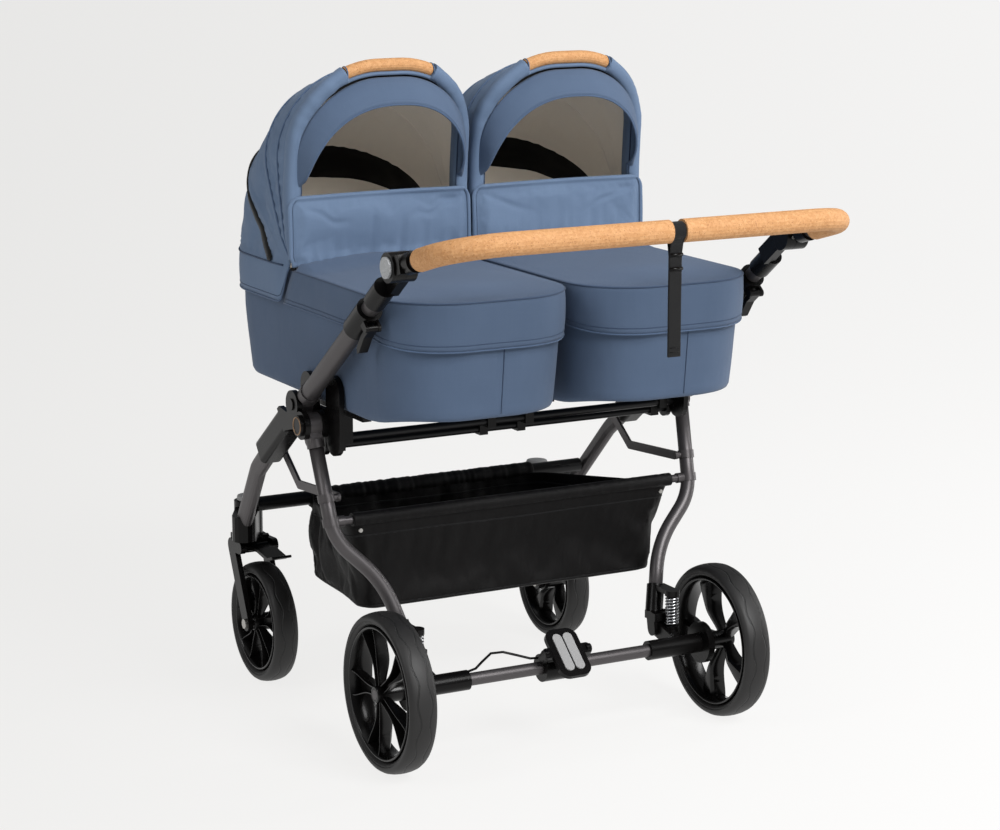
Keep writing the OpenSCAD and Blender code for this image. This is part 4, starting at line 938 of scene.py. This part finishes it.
def canopy(side):
    cx, seed = COT_X * SIDES[side], 17.0 + 3 * SIDES[side]
    hem_rows, hood_rows = 6, 66
    rows = []
    base = [canopy_spot(cx, *p, 0, seed) for p in bow_line(0)]
    for k in range(hem_rows):
        t = 1 - k / hem_rows
        belly = math.sin(math.pi * t)
        rows.append([(cx + (x - cx) * (1 + 0.008 * belly), y + 1.5 * belly * smooth((y - 420) / 200),
                      z - hem_drop(y) * t) for x, y, z in base])
    angles = [FRONT_BOW * i / hood_rows for i in range(hood_rows + 1)]
    rows += [[canopy_spot(cx, *p, a, seed) for p in bow_line(a)] for a in angles]
    sheet = panel(f"canopy_sheet_{side}", rows, BLUE, LINING, BLACK_CLOTH)
    count = len(rows[0])
    feet = [p[1] for p in arch(HALF, reach(33), 150)]

    def sewn(v):
        k, d = v.index // count - hem_rows, feet[v.index % count]
        a = FRONT_BOW * k / hood_rows
        bow = min(abs(a - b) for b in (*BOWS, LINING_SEAM))
        track = abs(a - zip_angle(d)) if d > 70 else 90
        loose = min(smooth((bow - 0.9) / 4), smooth((track - 3) / 4), smooth((d - 34) / 40))
        return 1 - loose if k > 0 else 1.0

    settle(sheet, sewn, 0.035, 9.0)
    apply(sheet, "SOLIDIFY", thickness=0.0024, offset=-1.0, material_offset=1)
    for face in sheet.data.polygons:
        if face.material_index == 1:
            y, z = face.center.y / MM - Y_SHIFT - PIVOT_Y, face.center.z / MM - PIVOT_Z
            angle, far = math.degrees(math.atan2(z, y)), math.hypot(y, z)
            if 18.5 < angle < 30 and far > 60:
                face.material_index = 2
    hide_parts(f"canopy_{side}")
    pieces = []

    def piping(label, spots, radius, finish):
        pieces.append(tube(f"canopy_{label}_{side}", spots, radius, finish, 8))

    for a in BOWS[2:4]:
        piping(f"seam_{a}", [canopy_spot(cx, *p, a, seed, 0.5) for p in bow_line(a)], 1.7, BLUE_TRIM)
        piping(f"stitch_{a}", [canopy_spot(cx, *p, a - 1.6, seed, 0.3) for p in bow_line(a)], 0.7, BLUE_DARK)
    piping(f"lining_seam_{LINING_SEAM}",
           [canopy_spot(cx, *p, LINING_SEAM, seed, -3.0) for p in bow_line(LINING_SEAM)], 1.6, LINING)
    rim = [p for p in base if p[1] > 352]
    piping("rim", [(cx + (x - cx) * 1.004, y + 0.8, z - 3) for x, y, z in rim], 1.6, BLUE_DARK)
    piping("hem", rows[0], 1.7, BLUE_TRIM)
    piping("hem_stitch", [tuple(lerp(p, q, 0.8) for p, q in zip(low, high))
                          for low, high in zip(rows[0], rows[1])], 0.7, BLUE_DARK)
    teeth = []
    outline = [p for p in arch(HALF, reach(33), lerp(158, 146, 33 / FRONT_BOW), (40, 30, 8)) if p[1] > 66]
    for shift, lift in ((-1, 0.4), (-0.7, 3.6), (0.7, 3.6), (1, 0.4)):
        row = []
        for x, d, nx, nd in outline:
            wide = lerp(11.0, 6.0, smooth((d - 90) / 190))
            a = max(0.0, zip_angle(d) + math.degrees(shift * wide / d))
            row.append(canopy_spot(cx, x, d, nx, nd, a, seed, lift))
        teeth.append(row)
    pieces.append(panel(f"canopy_zip_{side}", teeth, BLACK_CLOTH))
    for piece in [sheet, *pieces]:
        at(cx, 655, 850)
        at(cx, 335, 1105)
        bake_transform(piece)


for cot_side in SIDES:
    canopy(cot_side)

# %% [markdown]
# ## Front bows, peaks and grip sleeves
# A padded roll covers the front bow. A peak is sewn inside it: its lower edge is a piped curve, so the
# opening is rounder than the bow. Fabric sleeves hold the ends of the cork grip clear of the peak.

# %% Front bows


def oval_roll(name, path, across, radii, finish, squareness, sides=22):
    """A padded roll: at each point of a path an oval section with one axis along across."""
    points = [Vector(p) for p in path]
    rows = []
    for i, p in enumerate(points):
        ahead = (points[min(i + 1, len(points) - 1)] - points[max(i - 1, 0)]).normalized()
        wide = Vector(across[i])
        wide = (wide - ahead * wide.dot(ahead)).normalized()
        tall = ahead.cross(wide)
        big, small = radii[i]
        ring = []
        for s in range(sides):
            t = 2 * math.pi * s / sides
            c, n = math.cos(t), math.sin(t)
            ring.append(tuple(p + wide * (math.copysign(abs(c) ** (2 / squareness), c) * big)
                              + tall * (math.copysign(abs(n) ** (2 / squareness), n) * small)))
        rows.append(ring)
    mesh = bmesh.new()
    grid = add_rows(mesh, rows, True)
    for ring in (grid[0], grid[-1]):
        mesh.faces.new(ring)
    return finished(name, mesh, finish)


def front_bow(side):
    cx, seed, body = COT_X * SIDES[side], 23.0 + 5 * SIDES[side], f"hood_{side}"
    top = reach(FRONT_BOW)
    grip = top + 11.3
    for sign, label in ((1, "right"), (-1, "left")):
        path, radii, across = [], [], []
        for x, d, nx, nd in arch(155, grip, 135, (40, 60, 1), 10):
            if x < 78.5:
                break
            up = smooth((d - 215) / 95)
            wrinkle = 1.4 * ripple(x * sign, d, 0, 13, seed)
            wrinkle *= smooth((d - 190) / 50) * smooth((grip - 8 - d) / 30)
            soft = 0.8 * ripple(x * sign, d, 4, 42, seed)
            bulge = (5.0 if sign * cx > 0 else 1.5) * smooth((d - 8) / 50) * smooth((300 - d) / 150)
            b = math.radians(86 + 8 * smooth((d - 60) / 258) + 3 * smooth((d - 230) / 90))
            off = soft + bulge * abs(nx)
            far, cuff_swell = d + nd * off, 1.6 * smooth((98 - x) / 18)
            path.append((cx + sign * (x + nx * off), PIVOT_Y + far * math.cos(b),
                         PIVOT_Z + far * math.sin(b)))
            radii.append((lerp(17.5, 13.4, up) * lerp(0.75, 1, smooth((d - 10) / 70)) + wrinkle + cuff_swell,
                          lerp(14.0, 13.0, up) + wrinkle * 0.5 + cuff_swell))
            across.append((0, -math.sin(b), math.cos(b)))
        roll = oval_roll(f"bow_roll_{side}_{label}", path, across, radii, BLUE, 2.5)
        if sign > 0:
            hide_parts(f"hood_bow_{side}")
        edge = [tuple(Vector(q) + Vector(a) * (r[0] * 0.80) + Vector((-sign * r[1] * 0.80, 0, 0)))
                for q, a, r in zip(path, across, radii)][2:66]
        seam = tube(f"bow_stitch_{side}_{label}", edge, 1.0, BLUE_DARK, 6)
        b = math.radians(97)
        out, along = Vector((0, math.cos(b), math.sin(b))), Vector((0, -math.sin(b), math.cos(b)))
        cuff = [tuple(Vector(path[-1]) + (out * math.cos(t) + along * math.sin(t)) * 14.2)
                for t in (2 * math.pi * k / 24 for k in range(24))]
        hem = tube(f"grip_cuff_{side}_{label}", cuff, 1.1, BLUE_TRIM, 6, closed=True)
        for piece in (roll, seam, hem):
            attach(piece, body)

    def top_line(drop, angle, reach_x):
        spots = []
        for k in range(41):
            x = lerp(-reach_x, reach_x, k / 40)
            over = max(0.0, abs(x) - 20)
            d = grip - drop - 157 + math.sqrt(157 * 157 - over * over)
            b = math.radians(angle)
            spots.append((cx + x, PIVOT_Y + d * math.cos(b), PIVOT_Z + d * math.sin(b)))
        return spots

    band = tube(f"grip_band_{side}", top_line(13.5, 98.0, 84), 3.6, BLUE, 8)
    # A black sheet fills the gap between the grip band and the peak: painted shade.
    shade_sheet = panel(f"peak_shade_sheet_{side}", [top_line(drop, 97.2, 132) for drop in (10, 17, 26)], BLACK_CLOTH)
    for piece in (band, shade_sheet):
        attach(piece, body)

    def peak_row(w):
        row, steps = [], 72
        outer = arch(HALF - 8, top - 10, 138, (30, 40, 10), 124)
        lengths = [0.0]
        for q, r in zip(outer, outer[1:]):
            lengths.append(lengths[-1] + math.hypot(r[0] - q[0], r[1] - q[1]))
        for i in range(steps + 1):
            want = lengths[-1] * i / steps
            k = min(max(n for n, total in enumerate(lengths) if total <= want + 1e-9), len(outer) - 2)
            t = (want - lengths[k]) / max(1e-9, lengths[k + 1] - lengths[k])
            ox, od = lerp(outer[k][0], outer[k + 1][0], t), lerp(outer[k][1], outer[k + 1][1], t)
            turn = math.pi * i / steps
            c, n = math.cos(turn), math.sin(turn)
            inner = (148 * math.copysign(abs(c) ** 0.85, c), 328 - 79 * n ** 0.5, 940 + 135 * n)
            crown = (5.0 * n + 0.8 * ripple(ox, od, 40 * w, 50, seed + 2)) * math.sin(math.pi * w)
            px, py, pz = (lerp(a, b, w) for a, b in zip(swing(ox, od, 90.5), inner))
            row.append((cx + px + crown * c * 0.6, py - crown * 0.5, pz + crown * n))
        low = [(cx + sign * lerp(158, 148, w), lerp(333, 329, w), 912) for sign in (1, -1)]
        return [low[0], *row, low[1]]

    # The peak wears the darker copy of the blue cloth: painted shade.
    peak = panel(f"hood_peak_{side}", [peak_row(k / 12) for k in range(13)], SHADED_BLUE)
    apply(peak, "SOLIDIFY", thickness=0.0024, offset=1.0)
    rim = tube(f"hood_peak_piping_{side}", peak_row(1.0), 2.2, BLUE_TRIM, 8)
    sewn_line = [(x, y - 1.4, z + 1.2) for x, y, z in peak_row(0.88)]
    stitch = tube(f"hood_peak_stitch_{side}", sewn_line, 0.7, BLUE_DARK, 6)
    for piece in (peak, rim, stitch):
        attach(piece, body)


for cot_side in SIDES:
    front_bow(cot_side)

# %% [markdown]
# ## Shopping basket
# A black nylon tub hangs between the rear rod and the front cross tube. Its walls are lofted from the rim to
# the floor and sag between their corners, with folds that run down from the sleeves. The cloth simulation
# then loosens the walls between the zip and the floor seam.

# %% Shopping basket


def basket_plan(k, counts=(40, 10, 34, 10, 30)):
    """The basket's outline at depth share k, from rim to floor, narrower towards the front."""
    back, front = lerp(157, 170, k), lerp(502, 486, k)
    raw = plan(lerp(323, 290, k), back, front, 30, 40, counts)
    taper = lerp(0.72, 0.835, k)
    return [(x * lerp(1, taper, (y - back) / (front - back)), y) for x, y in raw]


def basket_drop(y):
    """The load has pulled the front of the floor down a little."""
    return 14 * smooth((y - 230) / 230)


def basket_spot(x, y, k, proud=0.0):
    """A point of the wall: it sags between its corners, and folds run down from the sleeves."""
    z = lerp(lerp(386, 344, (y - 157) / 345), 231 - basket_drop(y), k)
    hang = math.sin(math.pi * k)
    side_wall = smooth((y - 175) / 40)
    fold = ripple(x + k * 22, y, k * 30, 26, 41.0) * lerp(2.6, 6.0, side_wall)
    fold *= smooth(k * 6) * smooth((1.03 - k) * 6)
    broad = lerp(5.0, 7.0, side_wall) * ripple(x * 0.8 - k * 70, y, k * 90, 80, 44.0) * hang
    inward = lerp(6.0, 1.0, side_wall) * hang + fold + broad - proud
    to_middle = Vector((-x * 0.7, 330 - y)).normalized()
    return x + to_middle.x * inward, y + to_middle.y * inward, z - 4 * hang * smooth((170 - abs(x)) / 150)


def basket():
    levels = [0, 0.02, 0.05, 0.09, 0.14, 0.2, 0.27, 0.34, 0.41, 0.48, 0.55, 0.62, 0.69, 0.76, 0.83, 0.9, 0.96,
              1.0]
    rows = [[basket_spot(x, y, k) for x, y in basket_plan(k)] for k in levels]
    for share in (0.975, 0.93, 0.8, 0.62, 0.4, 0.2, 0.03):
        row = []
        for x, y in basket_plan(1.0):
            px, py = x * share, 328 + (y - 328) * share
            wave = 3.0 * ripple(px, py, 0, 60, 44.0) * smooth((1 - share) * 8)
            row.append((px, py, 229 - basket_drop(py) - 5 * (1 - share) + wave))
        rows.append(row)
    tub = panel("basket_tub", rows, NYLON, closed=True)
    count = len(rows[0])

    def sewn(v):
        k = v.index // count
        k = levels[k] if k < len(levels) else 1.0
        return 1 - min(smooth((k - 0.17) / 0.12), smooth((0.97 - k) / 0.1))

    settle(tub, sewn, 0.03, 12.0)
    apply(tub, "SOLIDIFY", thickness=0.0018, offset=1.0)
    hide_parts("basket")
    pieces = []
    front_half = 228
    sleeves = (("rear", 155.6, 392.8, 11.5, 313, 0.5), ("front", 517.2, 343.5, 17, front_half, 1.7))
    for name, y, z, size, half, crinkle in sleeves:
        path = [(lerp(-half, half, i / 170), y, z) for i in range(171)]
        sizes = [size + crinkle * (ripple(x, 0, 0, 9, 50.0) + 0.6 * ripple(x, 0, 0, 23, 51.0))
                 for x, _, _ in path]
        pieces.append(tube(f"basket_sleeve_{name}", path, sizes, NYLON, 20))
    hem_x = [lerp(-front_half, front_half, i / 120) for i in range(121)]
    hem = [[(x, lerp(520, 501, t) + 2.0 * ripple(x, t, 0, 11, 55.0), lerp(330, 322, t)) for x in hem_x]
           for t in (0, 0.5, 1)]
    pieces.append(panel("basket_front_hem", hem, NYLON))
    for label, k, size in (("zip", 0.155, 2.0), ("stitch", 0.085, 0.8), ("floor_seam", 0.985, 1.7)):
        ring = [basket_spot(x, y, k, 0.8) for x, y in basket_plan(k)]
        pieces.append(tube(f"basket_{label}", ring, size, NYLON_TRIM, 6, closed=True))
    for name, out in SIDES.items():
        ends = [(out * 296, 163, 372), (out * 296, 155.5, 372)]
        pieces.append(tube(f"basket_snap_{name}", ends, 3.6, STEEL, 16))
    for piece in [tub, *pieces]:
        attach(piece, "chassis")
        at(0, 505, 340)
        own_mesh(piece)


basket()

# %% [markdown]
# ## Wheels
# A tyre is turned on a lathe, and so are the barrel and the hub of its rim. A spoke is a channel: two thin
# walls that open towards the rim, with a hollow between them. It is lofted once for each of the five places,
# and a small bevel gives every wall a bright line.

# %% Wheels


def turned(mesh, profile, centre, out, steps=112):
    """Turn a closed profile of radius and outward distance about the axle."""
    x, y, z = centre
    angles = [2 * math.pi * i / steps for i in range(steps)]
    add_rows(mesh, [[(x + out * u, y + r * math.cos(t), z + r * math.sin(t)) for t in angles]
                    for r, u in [*profile, profile[0]]], True)


def spoke(mesh, centre, out, angle, first, last, face):
    """One channel spoke from the hub to the rim. Its walls end at face, outwards from the wheel's middle."""
    x, y, z = centre
    c, n = math.cos(angle), math.sin(angle)
    rows = []
    for k in range(15):
        t = k / 14
        r = lerp(first, last, t)
        half = lerp(7.5, 8.5, t) + 13.5 * smooth((t - 0.25) / 0.75) ** 1.4
        top = face - 3.5 * math.sin(math.pi * t)
        deep, back = top - lerp(9, 17, smooth(t * 2)), top - lerp(15, 26, smooth(t * 2))
        section = ((-half, top), (-half + 1.9, top), (-half + 2.6, deep),
                   (half - 2.6, deep), (half - 1.9, top), (half, top),
                   (half * 0.86, back + 5), (half * 0.55, back),
                   (-half * 0.55, back), (-half * 0.86, back + 5))
        rows.append([(x + out * u, y + r * c - v * n, z + r * n + v * c) for v, u in section])
    grid = add_rows(mesh, rows, True)
    for ring in (grid[0], grid[-1]):
        mesh.faces.new(ring)


def wheel(end, side, centre, radius, half, hub_face, phase):
    out = SIDES[side]
    x, y, z = centre
    place = (x * out, y, z)
    body = f"{end}_wheel_{side}"
    mesh = bmesh.new()
    bead = radius - 22
    crown = [(bead + 0.6, 0.68), (bead + 4, 0.86), (bead + 9, 0.97), (bead + 13.5, 0.985), (bead + 17, 0.9),
             (bead + 19.6, 0.72), (bead + 21.2, 0.45), (bead + 21.95, 0.15)]
    turned(mesh, [(r, -s * half) for r, s in crown] + [(r, s * half) for r, s in reversed(crown)]
           + [(bead - 0.2, 0.5 * half), (bead - 0.2, -0.5 * half)], place, out)
    tyre = finished(f"{end}_tyre_foam_{side}", mesh, REAR_RUBBER if end == "rear" else FRONT_RUBBER)
    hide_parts(f"{end}_tyre_{side}")
    mesh = bmesh.new()
    lip = half - 4.2
    barrel = [(0.8, -lip + 3), (0.8, lip - 3), (1, lip + 0.6), (2.4, lip + 1.4), (4.4, lip + 1.0),
              (6, lip - 2.4), (8.4, lip - 12), (9.6, 0), (8.4, -lip + 8), (5, -lip), (2.4, -lip - 1.2),
              (1, -lip - 0.6)]
    turned(mesh, [(bead - depth, u) for depth, u in barrel], place, out)
    for k in range(5):
        spoke(mesh, place, out, math.radians(phase + 72 * k), 11, bead - 6.5, lip - 0.8)
    turned(mesh, [(0.4, hub_face - 2.6), (8.6, hub_face - 2.6), (9.4, hub_face), (12.6, hub_face),
                  (13.8, hub_face - 1), (15.2, lip - 6), (16.4, -half * 0.5), (17, -half - 2),
                  (0.4, -half - 2)], place, out)
    rim = finished(f"{end}_rim_cast_{side}", mesh, GLOSS_BLACK)
    apply(rim, "BEVEL", width=0.0007, segments=2, limit_method="ANGLE", angle_limit=math.radians(38))
    bpy.ops.object.select_all(action="DESELECT")
    rim.select_set(True)
    bpy.context.view_layer.objects.active = rim
    bpy.ops.object.shade_smooth_by_angle(angle=math.radians(32))
    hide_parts(f"{end}_rim_{side}")
    for piece in (tyre, rim):
        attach(piece, body)
    print(body, "faces", len(tyre.data.polygons) + len(rim.data.polygons))


for wheel_side in SIDES:
    wheel("rear", wheel_side, (321, 0, 135), 135, 25, 27, -5)
    wheel("front", wheel_side, (303, 561, 110), 110, 23, 24, 20)

# %% [markdown]
# ## Rear legs
# A bent tube has wide bends, because a tight one would crease it. Each leg is one sweep along straight runs
# that are joined by arcs.

# %% Rear legs


def bends(points, radii, steps=14):
    """A path along straight runs, with an arc of the given radius at each inner corner."""
    corners = [Vector(p) for p in points]
    path = [corners[0]]
    for before, corner, after, radius in zip(corners, corners[1:], corners[2:], radii):
        first, second = (before - corner).normalized(), (after - corner).normalized()
        spread = first.angle(second)
        reach_back = radius / math.tan(spread / 2)
        middle = corner + (first + second).normalized() * (radius / math.sin(spread / 2))
        start, stop = corner + first * reach_back, corner + second * reach_back
        for k in range(steps + 1):
            arm = (start - middle).slerp(stop - middle, k / steps)
            path.append(middle + arm.normalized() * radius)
    path.append(corners[-1])
    return [tuple(p) for p in path]


top_of_leg = Vector((362, 205, 552))
knee = Vector((350, 147, 365))
for leg_side, out in SIDES.items():
    start = top_of_leg + (knee - top_of_leg).normalized() * 31
    route = bends([start, knee, (271, 123, 287), (240, 84, 176)], (95, 180))
    leg = tube(f"rear_leg_{leg_side}", [(x * out, y, z) for x, y, z in route], 12.5, GRAPHITE, 28)
    if out < 0:
        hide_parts("rear_leg_tubes")
    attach(leg, "rear_frame")

# %% [markdown]
# ## Springs, pivot rings and small caps
# A coil spring sits between the leg's bracket and the swing arm, round a black core. Thin rings, caps and
# screws finish the pivots, as turned trim pressed into the mouldings.

# %% Springs and trim
SPRING_X, SPRING_Y, SPRING_LOW, SPRING_TOP = 250, 40, 162.2, 211.8
TURNS, TURN_STEPS = 9, 24
open_ring = [2 * math.pi * k / 40 for k in range(40)]
for trim_side, out in SIDES.items():
    ring = tube(f"pivot_ring_{trim_side}", [(out * 389, 205 + 14.6 * math.cos(t), 552 + 14.6 * math.sin(t))
                                            for t in open_ring], 1.2, BRONZE, 8, closed=True)
    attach(ring, "chassis")
    mesh = bmesh.new()
    rows = [[(out * 303 + r * math.cos(t), 626 + r * math.sin(t), z) for t in open_ring]
            for r, z in ((20.6, 326), (20.6, 331.5), (19.4, 333.8), (14, 335.2), (6, 335.6), (0.3, 335.7))]
    add_rows(mesh, rows, True)
    cap = finished(f"caster_cap_{trim_side}", mesh, PALE)
    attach(cap, "chassis")
    spring_x = out * SPRING_X
    core = tube(f"spring_core_{trim_side}", [(spring_x, SPRING_Y, z) for z in (213, 211, 166, 163.5)],
                (6.4, 7.0, 7.0, 6.2), BLACK, 20)
    coil = []
    for k in range(TURNS * TURN_STEPS + 1):
        turn, share = 2 * math.pi * k / TURN_STEPS, k / (TURNS * TURN_STEPS)
        z = lerp(SPRING_LOW, SPRING_TOP, 0.9 * share + 0.1 * smooth(share))
        coil.append((spring_x + 10.4 * math.cos(turn), SPRING_Y + 10.4 * math.sin(turn), z))
    spring = tube(f"coil_spring_{trim_side}", coil, 1.75, CHROME, 10)
    if out < 0:
        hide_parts("rear_springs")
    upper, lower = at(spring_x, SPRING_Y, 211), at(spring_x, SPRING_Y, 163)
    for piece in (spring, core):
        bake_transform(piece)
    screw_ends = [(out * 352, -161.06, 865.5), (out * 352, -158.86, 865.5)]
    screw = tube(f"tilt_screw_{trim_side}", screw_ends, 3.0, STEEL, 12)
    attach(screw, "handle_slide")
print("springs of", TURNS, "turns and", SPRING_TOP - SPRING_LOW, "mm")

# %% [markdown]
# ## Wrist strap
# Doubled webbing: it loops round the bare tube between the two grips, is sewn together below and hangs
# straight. A flat strap is modelled directly, because it keeps its shape.

# %% Wrist strap


def wrist_strap():
    grip_y, grip_z, left, right = -331.35, 920.4, 4.0, 26.0
    path = []
    for k in range(25):
        t = math.radians(-55 + 290 * k / 24)
        path.append((grip_y + 14.2 * math.cos(t), grip_z + 14.2 * math.sin(t)))
    front = [(grip_y - 1.2 - 4 * (1 - smooth(k / 5)), grip_z - 15 - 5.2 * k) for k in range(1, 36)]
    back = [(y + 2.5 + 4 * (1 - smooth(k / 5)) * 2, z) for k, (y, z) in enumerate(front, 1)]
    line = list(reversed(back)) + path + front
    rows = [[(x, y + 0.9 * ripple(0, 0, z, 60, 3.0) * smooth((900 - z) / 80), z) for y, z in line]
            for x in (left, left + 0.8, 15.0, right - 0.8, right)]
    strap = panel("strap_webbing", rows, WEBBING)
    apply(strap, "SOLIDIFY", thickness=0.0016, offset=0.0)
    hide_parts("wrist_strap")
    stitches = []
    for z in (900, 893, 738, 731):
        ends = [(left + 2, grip_y - 2.4, z), (right - 2, grip_y - 2.4, z)]
        stitches.append(tube(f"strap_stitch_{z}", ends, 0.5, BLACK, 6))
    for k, z in enumerate((884, 862)):
        ends = [(left - 0.6, grip_y - 3.0, z), (right + 0.6, grip_y - 3.0, z)]
        stitches.append(tube(f"strap_keeper_{k}", ends, 2.6, BLACK, 10))
    for piece in [strap, *stitches]:
        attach(piece, "wrist_strap")


wrist_strap()
